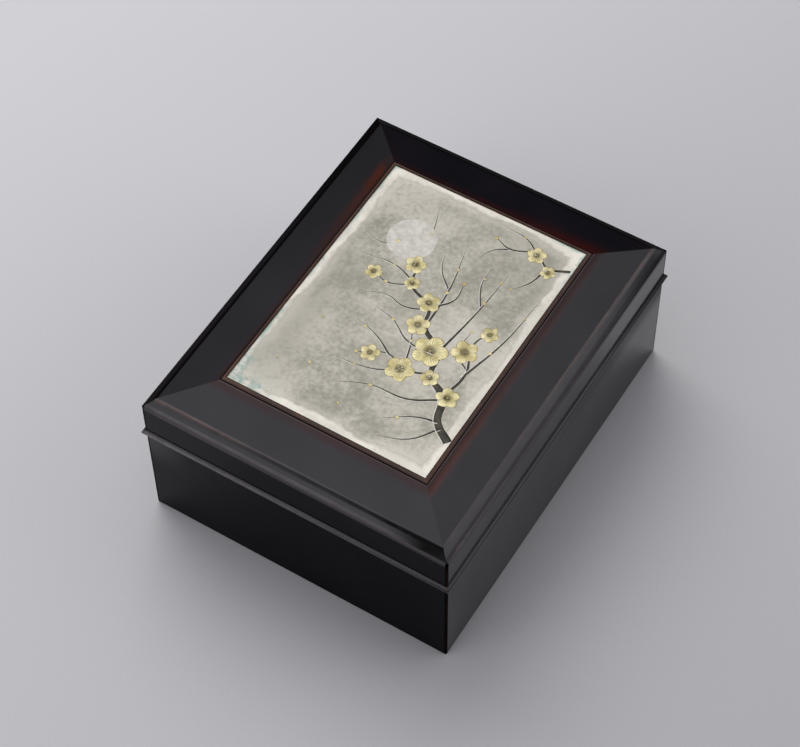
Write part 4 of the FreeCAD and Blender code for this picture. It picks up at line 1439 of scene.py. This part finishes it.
    def build_moon(self, material: bpy.types.Material) -> None:
        """Makes the moon, a thin disc with a rounded edge.

        Args:
            material: Its finish.
        """
        mesh = bmesh.new()
        sides = self.moon_sides
        loops = []
        for share, rise in self.moon_rings:
            loop = [mesh.verts.new((self.moon.x * MM + self.moon.radius * MM * share * math.cos(a),
                                    self.moon.y * MM + self.moon.radius * MM * share * math.sin(a),
                                    self.face + rise * MM))
                    for a in (2 * math.pi * i / sides for i in range(sides))]
            loops.append(loop)
        for lower, upper in zip(loops, loops[1:]):
            for i in range(sides):
                mesh.faces.new((lower[i], lower[(i + 1) % sides], upper[(i + 1) % sides], upper[i]))
        mesh.faces.new(loops[-1])
        mesh.faces.new(loops[0][::-1])
        data = bpy.data.meshes.new("plaque_moon")
        mesh.to_mesh(data)
        mesh.free()
        data.materials.append(material)
        finish_piece(add_object("plaque_moon", data), "lid")

    def stroke_tree(self) -> GeometryTree:
        """The tree that sweeps a flattened round section along curves.

        Returns:
            The tree, with inputs for the relief's height and the material.
        """
        tree = GeometryTree("inlay_strokes", {"Flatness": ("NodeSocketFloat", 0.2),
                                              "Lift": ("NodeSocketFloat", 0.0),
                                              "Material": ("NodeSocketMaterial", None)})
        section = tree.node("GeometryNodeCurvePrimitiveCircle", {"Resolution": 8, "Radius": 1.0})
        radius = tree.node("GeometryNodeInputRadius").outputs[0]
        swept = tree.node("GeometryNodeCurveToMesh", {"Curve": tree.given("Geometry"),
                                                      "Profile Curve": section.outputs[0],
                                                      "Scale": radius, "Fill Caps": True})
        flat = tree.node("ShaderNodeCombineXYZ", {0: 1.0, 1: 1.0, 2: tree.given("Flatness")})
        up = tree.node("ShaderNodeCombineXYZ", {2: tree.given("Lift")})
        placed = tree.node("GeometryNodeTransform", {"Geometry": swept.outputs[0], "Scale": flat.outputs[0],
                                                     "Translation": up.outputs[0]})
        tree.close(placed.outputs[0])
        return tree

    def lay_strokes(self, tree: GeometryTree, name: str, strokes: Sequence[Stroke], lift: float, height: float,
                    material: bpy.types.Material) -> None:
        """Lays a set of strokes on the plate as one piece.

        Args:
            tree: The stroke tree.
            name: The piece's name.
            strokes: The strokes.
            lift: How far above the plate's face their middle lies, in millimetres.
            height: How high a stroke of the widest kind stands.
            material: Their finish.
        """
        chance = random.Random(self.seed)
        curve = bpy.data.curves.new(name, "CURVE")
        curve.dimensions = "3D"
        curve.resolution_u = 10
        widest = max(stroke.start for stroke in strokes) / 2 * MM
        for stroke in strokes:
            last = len(stroke.points) - 1
            spline = curve.splines.new("BEZIER")
            spline.bezier_points.add(last)
            for i, (point, (x, y)) in enumerate(zip(spline.bezier_points, stroke.points)):
                point.co = (x * MM, y * MM, 0.0)
                point.handle_left_type = "AUTO"
                point.handle_right_type = "AUTO"
                width = stroke.start + (stroke.end - stroke.start) * i / last
                point.radius = width / 2 * MM * (1 + stroke.knots * chance.uniform(-0.6, 1.0))
        tree_values = {"Flatness": height / widest, "Lift": self.face + lift * MM, "Material": material}
        finish_piece(tree.grow(name, curve, tree_values), "lid")

    def bright_cuts(self) -> list[Stroke]:
        """Thin bright lines beside the strokes, where a graver cut the plate.

        Returns:
            The lines, each a little to one side of its stroke.
        """
        cuts = []
        for stroke in [*self.branches, *self.shoots]:
            last = len(stroke.points) - 1
            moved = []
            for i, (x, y) in enumerate(stroke.points):
                after = stroke.points[min(i + 1, last)]
                before = stroke.points[max(i - 1, 0)]
                along = Vector((after[0] - before[0], after[1] - before[1])).normalized()
                gap = (stroke.start + (stroke.end - stroke.start) * i / last) / 2 + self.cut_gap
                moved.append((x - along.y * gap, y + along.x * gap))
            cuts.append(Stroke(tuple(moved), *self.cut_widths))
        return cuts

    def flower_tree(self) -> GeometryTree:
        """The tree that sets a ring of round petals and a heart on each point.

        Returns:
            The tree, with inputs for the petals, the relief's height and the material.
        """
        tree = GeometryTree("inlay_flowers", {"Petals": ("NodeSocketInt", 5), "Spread": ("NodeSocketFloat", 0.5),
                                              "Height": ("NodeSocketFloat", self.flower_height),
                                              "Material": ("NodeSocketMaterial", None)})
        shape = self.flower
        petal, stamen, heart = (
            tree.node("GeometryNodeMeshUVSphere", {"Segments": segments, "Rings": rings, "Radius": radius}).outputs[0]
            for segments, rings, radius in ((14, 8, shape.petal), (6, 4, shape.stamen), (10, 6, shape.heart)))
        petal_ring = tree.node("GeometryNodeMeshCircle", {"Vertices": tree.given("Petals"),
                                                          "Radius": tree.given("Spread")})
        stamen_ring = tree.node("GeometryNodeMeshCircle", {"Vertices": shape.stamens, "Radius": shape.stamen_ring})
        petals = tree.node("GeometryNodeInstanceOnPoints", {"Points": petal_ring.outputs[0], "Instance": petal})
        stamens = tree.node("GeometryNodeInstanceOnPoints", {"Points": stamen_ring.outputs[0], "Instance": stamen})
        raised = tree.node("GeometryNodeTransform", {"Geometry": stamens.outputs[0],
                                                     "Translation": (0.0, 0.0, shape.stamen_rise)})
        top = tree.node("GeometryNodeTransform", {"Geometry": heart, "Translation": (0.0, 0.0, shape.heart_rise)})
        joined = tree.node("GeometryNodeJoinGeometry")
        for part in (petals, raised, top):
            tree.tree.links.new(part.outputs[0], joined.inputs[0])
        solid = tree.node("GeometryNodeRealizeInstances", {0: joined.outputs[0]})
        place = tree.node("GeometryNodeInputPosition").outputs[0]
        flower = tree.node("GeometryNodeStoreNamedAttribute", {"Geometry": solid.outputs[0], "Name": "flower_place",
                                                               "Value": place},
                           data_type="FLOAT_VECTOR", domain="POINT")
        size = tree.node("GeometryNodeInputNamedAttribute", {"Name": "size"}).outputs[0]
        turn = tree.node("GeometryNodeInputNamedAttribute", {"Name": "turn"}).outputs[0]
        height = tree.maths("DIVIDE", tree.given("Height"), shape.top)
        scale = tree.node("ShaderNodeCombineXYZ", {0: size, 1: size, 2: height})
        euler = tree.node("ShaderNodeCombineXYZ", {2: turn})
        rotation = tree.node("FunctionNodeEulerToRotation", {0: euler.outputs[0]})
        placed = tree.node("GeometryNodeInstanceOnPoints", {"Points": tree.given("Geometry"),
                                                            "Instance": flower.outputs[0],
                                                            "Rotation": rotation.outputs[0],
                                                            "Scale": scale.outputs[0]})
        tree.close(placed.outputs[0])
        return tree

    def lay_flowers(self, tree: GeometryTree, name: str, flowers: Sequence[Blossom], petals: int, spread: float,
                    material: bpy.types.Material) -> None:
        """Lays a set of flowers on the plate as one piece.

        Args:
            tree: The flower tree.
            name: The piece's name.
            flowers: Their places and sizes.
            petals: How many petals each has.
            spread: How far the petals' middles lie from the heart, as a share of the radius.
            material: Their finish.
        """
        mesh = bpy.data.meshes.new(name)
        mesh.from_pydata([(f.x * MM, f.y * MM, self.face) for f in flowers], [], [])
        sizes = mesh.attributes.new("size", "FLOAT", "POINT")
        sizes.data.foreach_set("value", [f.radius * MM for f in flowers])
        turns = mesh.attributes.new("turn", "FLOAT", "POINT")
        turns.data.foreach_set("value", [f.turn for f in flowers])
        piece = tree.grow(name, mesh, {"Petals": petals, "Spread": spread, "Height": self.flower_height,
                                       "Material": material})
        finish_piece(piece, "lid")


@dataclass
class StoneBoard:
    """The board over the paper space, the inkstone and the water dropper."""

    rim: float = 58.0 * MM
    flat: float = 55.0 * MM

    def dress(self, effects: Effects) -> None:
        """Finishes the board, the stone and the dropper.

        Args:
            effects: The shared groups.
        """
        dress(SprinkledLacquer("board_lacquer", cover=0.26).make(effects), ["inkstone_board"])
        dress(Slate("inkstone_slate", self.rim, self.flat).make(effects), ["inkstone"])
        metal = InlaidMetal("dropper_copper", shade(160, 118, 84), shade(122, 84, 58), 0.27, 0.95, 60.0, 0.05 * MM)
        dress(metal.make(effects), ["dropper_body", "dropper_top"])


@dataclass
class Trays:
    """The two lift-out trays."""

    rim: float = 67.0 * MM

    def dress(self, effects: Effects) -> None:
        """Sprinkles the trays and gilds their rims.

        Args:
            effects: The shared groups.
        """
        walls = SprinkledLacquer("tray_lacquer", self.rim, cover=0.3).make(effects)
        floors = SprinkledLacquer("tray_floor_lacquer", cover=0.3).make(effects)
        for tray in ("left_tray", "right_tray"):
            dress(walls, each_side(tray + "_{}_wall"))
            dress(floors, [tray + "_floor", tray + "_rests"])


@dataclass
class Brush:
    """A writing brush: shaft, collar, hair and cap."""

    size: str
    strands: int = 420
    seed: int = 3
    thickness: float = 0.09 * MM
    inset: float = 0.25 * MM
    lap: float = 0.3 * MM
    hair: bpy.types.Material = field(init=False)

    @property
    def name(self) -> str:
        """The brush's body."""
        return self.size + "_brush"

    def dress(self, effects: Effects) -> None:
        """Finishes the brush's own pieces.

        Args:
            effects: The shared groups.
        """
        low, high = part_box(self.name + "_shaft")
        joint = low.y + (high.y - low.y) * 0.62
        cane = GrainedWood(self.size + "_cane", shade(206, 172, 116), shade(150, 106, 58), rings=(joint,))
        dress(cane.make(effects), [self.name + "_shaft"])
        low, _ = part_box(self.name + "_cap")
        cap = GrainedWood(self.size + "_cap_cane", shade(186, 146, 92), shade(122, 80, 44), rings=(low.y + 1.5 * MM,))
        dress(cap.make(effects), [self.name + "_cap"])
        gilt = InlaidMetal(self.size + "_collar_gilt", shade(226, 188, 108), shade(168, 120, 58), 0.26, 1.0)
        dress(gilt.make(effects), [self.name + "_collar"])
        low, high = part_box(self.name + "_hair")
        self.hair = Hair(self.size + "_hair", low.y, high.y).make(effects)
        dress(self.hair, [self.name + "_hair"])

    def build(self, tree: GeometryTree) -> None:
        """Lays separate strands over the hair's core.

        Args:
            tree: The bristle tree.
        """
        low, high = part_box(self.name + "_hair")
        _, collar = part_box(self.name + "_collar")
        root = collar.y - self.lap
        centre = (low + high) / 2
        point = bpy.data.meshes.new(self.name + "_root")
        point.from_pydata([(0.0, 0.0, 0.0)], [], [])
        piece = tree.grow(self.name + "_bristles", point, {
            "Strands": self.strands, "Root": (high.x - low.x) / 2 - self.inset, "Length": high.y - root,
            "Centre": (centre.x, root, centre.z), "Thickness": self.thickness, "Seed": self.seed,
            "Material": self.hair})
        finish_piece(piece, self.name)


def bristle_tree() -> GeometryTree:
    """The tree that spreads strands round a brush's hair and brings them to a point.

    Returns:
        The tree, with inputs for the number, sizes, place and seed.
    """
    tree = GeometryTree("bristles", {
        "Strands": ("NodeSocketInt", 300), "Root": ("NodeSocketFloat", 0.003), "Length": ("NodeSocketFloat", 0.03),
        "Centre": ("NodeSocketVector", None), "Thickness": ("NodeSocketFloat", 0.0001),
        "Seed": ("NodeSocketInt", 0), "Material": ("NodeSocketMaterial", None)})
    points = tree.node("GeometryNodePoints", {"Count": tree.given("Strands")})
    line = tree.node("GeometryNodeCurvePrimitiveLine", {"Start": (0.0, 0.0, 0.0), "End": (0.0, 1.0, 0.0)})
    fine = tree.node("GeometryNodeResampleCurve", {"Curve": line.outputs[0], "Count": 16})
    share = tree.node("GeometryNodeSplineParameter").outputs["Factor"]
    kept = tree.node("GeometryNodeStoreNamedAttribute", {"Geometry": fine.outputs[0], "Name": "along",
                                                         "Value": share}, data_type="FLOAT", domain="POINT")
    spread = tree.node("GeometryNodeInstanceOnPoints", {"Points": points.outputs[0], "Instance": kept.outputs[0]})
    index = tree.node("GeometryNodeInputIndex").outputs[0]
    named = tree.node("GeometryNodeStoreNamedAttribute", {
        "Geometry": spread.outputs[0], "Name": "strand", "Value": index}, data_type="INT", domain="INSTANCE")
    loose = tree.node("GeometryNodeRealizeInstances", {0: named.outputs[0]})

    along = tree.node("GeometryNodeInputNamedAttribute", {"Name": "along"}, data_type="FLOAT").outputs[0]
    strand = tree.node("GeometryNodeInputNamedAttribute", {"Name": "strand"}, data_type="INT").outputs[0]

    def chance(low: float, high: float, shift: int) -> Socket:
        """A random number that stays the same along one strand."""
        seed = tree.maths("ADD", tree.given("Seed"), shift)
        return tree.node("FunctionNodeRandomValue", {2: low, 3: high, "ID": strand, "Seed": seed},
                         data_type="FLOAT").outputs[1]

    angle = chance(0.0, 2 * math.pi, 1)
    reach = tree.maths("POWER", chance(0.0, 1.0, 2), 0.25)
    length = tree.maths("MULTIPLY", tree.given("Length"), chance(0.93, 1.0, 3))
    belly = tree.maths("SINE", tree.maths("MULTIPLY", along, math.pi))
    taper = tree.maths("SUBTRACT", 1.0, tree.maths("POWER", along, 2.1))
    swell = tree.maths("ADD", tree.maths("MULTIPLY", taper, 0.98), tree.maths("MULTIPLY", belly, 0.1))
    radius = tree.maths("MULTIPLY", tree.maths("MULTIPLY", tree.given("Root"), reach), swell)
    radius = tree.maths("ADD", radius, 0.00012)
    sway = tree.maths("MULTIPLY_ADD", along, chance(-0.25, 0.25, 4), angle)
    place = tree.node("ShaderNodeCombineXYZ", {0: tree.maths("MULTIPLY", radius, tree.maths("COSINE", sway)),
                                               1: tree.maths("MULTIPLY", length, along),
                                               2: tree.maths("MULTIPLY", radius, tree.maths("SINE", sway))})
    centred = tree.node("ShaderNodeVectorMath", {0: place.outputs[0], 1: tree.given("Centre")}, operation="ADD")
    shaped = tree.node("GeometryNodeSetPosition", {"Geometry": loose.outputs[0], "Position": centred.outputs[0]})
    section = tree.node("GeometryNodeCurvePrimitiveCircle", {"Resolution": 3, "Radius": 1.0})
    thin = tree.maths("MULTIPLY", tree.given("Thickness"), tree.maths("SUBTRACT", 1.08, along))
    swept = tree.node("GeometryNodeCurveToMesh", {"Curve": shaped.outputs[0], "Profile Curve": section.outputs[0],
                                                  "Scale": thin, "Fill Caps": True})
    tree.close(swept.outputs[0])
    return tree


@dataclass
class Tools:
    """The ink stick, the paper knife and the awl."""

    def dress(self, effects: Effects) -> None:
        """Finishes the three tools.

        Args:
            effects: The shared groups.
        """
        low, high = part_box("ink_stick")
        centre = (low + high) / 2
        stick = PressedInk("pressed_ink", (centre.x, centre.y), ((high.x - low.x) / 2, (high.y - low.y) / 2), high.z)
        dress(stick.make(effects), ["ink_stick"])
        handle = GrainedWood("red_handle", shade(132, 62, 38), shade(84, 34, 22), 0.3, 700.0)
        dress(handle.make(effects), ["knife_handle", "awl_handle"])
        steel = InlaidMetal("ground_steel", shade(188, 190, 192), shade(166, 168, 172), 0.28, 1.0, 200.0, 0.01 * MM)
        dress(steel.make(effects), ["knife_blade", "awl_needle"])


# ---------------------------------------------------------------------------------------------
# Studio
# ---------------------------------------------------------------------------------------------


@dataclass(frozen=True)
class Glow:
    """A soft patch of light in the sky: where it is, how it fades with the angle from there, and how bright it is."""

    direction: tuple[float, float, float]
    stops: tuple[tuple[float, float], ...]
    level: float


@dataclass
class Studio:
    """A pale floor with painted light on it, soft light from above and the camera."""

    place: tuple[float, float, float] = (0.39142, -0.62742, 1.09494)
    forward: tuple[float, float, float] = (-0.30909545, 0.48721116, -0.81675289)
    right: tuple[float, float, float] = (0.85181923, 0.52374149, -0.00994273)
    lens: float = 107.88
    floor_size: float = 24.0
    floor_colour: Colour = (0.49, 0.492, 0.495, 1.0)
    sky_colour: Colour = (0.985, 0.975, 1.045, 1.0)
    room: float = 0.08
    # Painted light on the floor: how it slopes across x and y, and its lowest and highest levels.
    painted_light_slope: tuple[float, float] = (-0.65, 0.17)
    painted_light_least: float = -0.2
    painted_light_most: float = 0.25
    glows: tuple[Glow, ...] = (
        Glow((-0.2, 0.2, 0.96), ((0.0, 1.05), (25.0, 1.0), (31.0, 0.8), (37.5, 0.48), (44.5, 0.14), (52.0, 0.0)), 1.15),
        Glow((-0.31, -0.75, 0.58), ((0.0, 1.0), (14.0, 1.0), (34.0, 0.0)), 1.3),
        Glow((0.8, 0.49, 0.36), ((0.0, 1.0), (14.0, 1.0), (32.0, 0.0)), 1.3),
    )
    lamp_from: tuple[float, float, float] = (-0.55, 0.45, 0.70)
    lamp_angle: float = 50.0
    lamp_strength: float = 1.5

    def build(self) -> None:
        """Makes the floor, the lights and the camera."""
        self.build_floor()
        self.build_world()
        self.build_lamp()
        self.build_camera()
        bpy.context.scene.view_settings.view_transform = "Standard"

    def build_floor(self) -> None:
        """Lays a large flat floor, its colour a little paler towards the lamp as painted light."""
        half = self.floor_size / 2
        mesh = bpy.data.meshes.new("floor")
        mesh.from_pydata([(-half, -half, 0), (half, -half, 0), (half, half, 0), (-half, half, 0)], [], [(0, 1, 2, 3)])
        floor = add_object("floor", mesh)
        material = bpy.data.materials.new("floor_paper")
        material.use_nodes = True
        graph = Graph(material.node_tree)
        shader = material.node_tree.nodes["Principled BSDF"]
        x, y, _ = graph.axes()
        # Painted light: the floor's colour rises towards the lamp, to the left and back, within two limits, times the
        # paper's own tone and tooth.
        along_x, along_y = self.painted_light_slope
        slope = graph.maths("MULTIPLY_ADD", x, along_x, graph.maths("MULTIPLY", y, along_y))
        held = graph.maths("MAXIMUM", graph.maths("MINIMUM", slope, self.painted_light_most), self.painted_light_least)
        level = graph.maths("ADD", held, 1.0)
        tooth = graph.fade(graph.noise(900.0, 3.0), 0.3, 0.7, 0.97, 1.01)
        paper = graph.node("ShaderNodeMix", {0: 1.0, 6: self.floor_colour, 7: graph.maths("MULTIPLY", level, tooth)},
                           data_type="RGBA", blend_type="MULTIPLY")
        graph.feed(shader.inputs["Base Color"], paper.outputs[2])
        shader.inputs["Roughness"].default_value = 0.9
        shader.inputs["Specular IOR Level"].default_value = 0.2
        mesh.materials.append(material)
        log.info("floor: %.1f m", self.floor_size)

    def build_world(self) -> None:
        """Lights the studio with soft patches of sky in a dim room."""
        world = bpy.data.worlds.new("studio")
        bpy.context.scene.world = world
        world.use_nodes = True
        graph = Graph(world.node_tree)
        background = world.node_tree.nodes["Background"]
        direction = graph.node("ShaderNodeTexCoord").outputs["Generated"]
        unit = graph.node("ShaderNodeVectorMath", {0: direction}, operation="NORMALIZE").outputs[0]
        total: Value = self.room
        for glow in self.glows:
            axis = tuple(Vector(glow.direction).normalized())
            cosine = graph.node("ShaderNodeVectorMath", {0: unit, 1: axis}, operation="DOT_PRODUCT").outputs["Value"]
            ramp = graph.node("ShaderNodeValToRGB", {0: graph.fade_line(cosine, 0.5, 1.0)})
            stops = ramp.color_ramp.elements
            while len(stops) > 1:
                stops.remove(stops[-1])
            for i, (angle, level) in enumerate(reversed(glow.stops)):
                position = (math.cos(math.radians(angle)) - 0.5) * 2
                stop = stops[0] if i == 0 else stops.new(position)
                stop.position = position
                stop.color = (level, level, level, 1.0)
            total = graph.maths("MULTIPLY_ADD", ramp.outputs[0], glow.level, total)
        graph.feed(background.inputs["Strength"], total)
        background.inputs["Color"].default_value = self.sky_colour

    def build_lamp(self) -> None:
        """Adds the broad lamp that throws the box's soft shadow forwards and to the right."""
        data = bpy.data.lights.new("lamp", "SUN")
        data.angle = math.radians(self.lamp_angle)
        data.energy = self.lamp_strength
        lamp = add_object("lamp", data)
        lamp.matrix_world = Vector(self.lamp_from).to_track_quat("Z", "Y").to_matrix().to_4x4()
        lamp.visible_glossy = False

    def build_camera(self) -> None:
        """Sets the camera up as the photograph was taken."""
        forward = Vector(self.forward).normalized()
        right = Vector(self.right).normalized()
        up = right.cross(forward)
        turn = Matrix((right, up, -forward)).transposed()
        data = bpy.data.cameras.new("camera")
        data.sensor_width = 36.0
        data.lens = self.lens
        data.clip_start = 0.01
        camera = add_object("camera", data)
        camera.matrix_world = Matrix.Translation(self.place) @ turn.to_4x4()
        bpy.context.scene.camera = camera


def main() -> None:
    """Builds the sub-assemblies in order, then the studio."""
    logging.basicConfig(level=logging.INFO, format="%(name)s: %(message)s")
    effects = Effects()
    Body().dress(effects)
    Lid().dress(effects)
    Plaque().build(effects)
    StoneBoard().dress(effects)
    Trays().dress(effects)
    tree = bristle_tree()
    for brush in (Brush("large"), Brush("small", strands=320, seed=5)):
        brush.dress(effects)
        brush.build(tree)
    Tools().dress(effects)
    Studio().build()


if __name__ == "__main__":
    main()
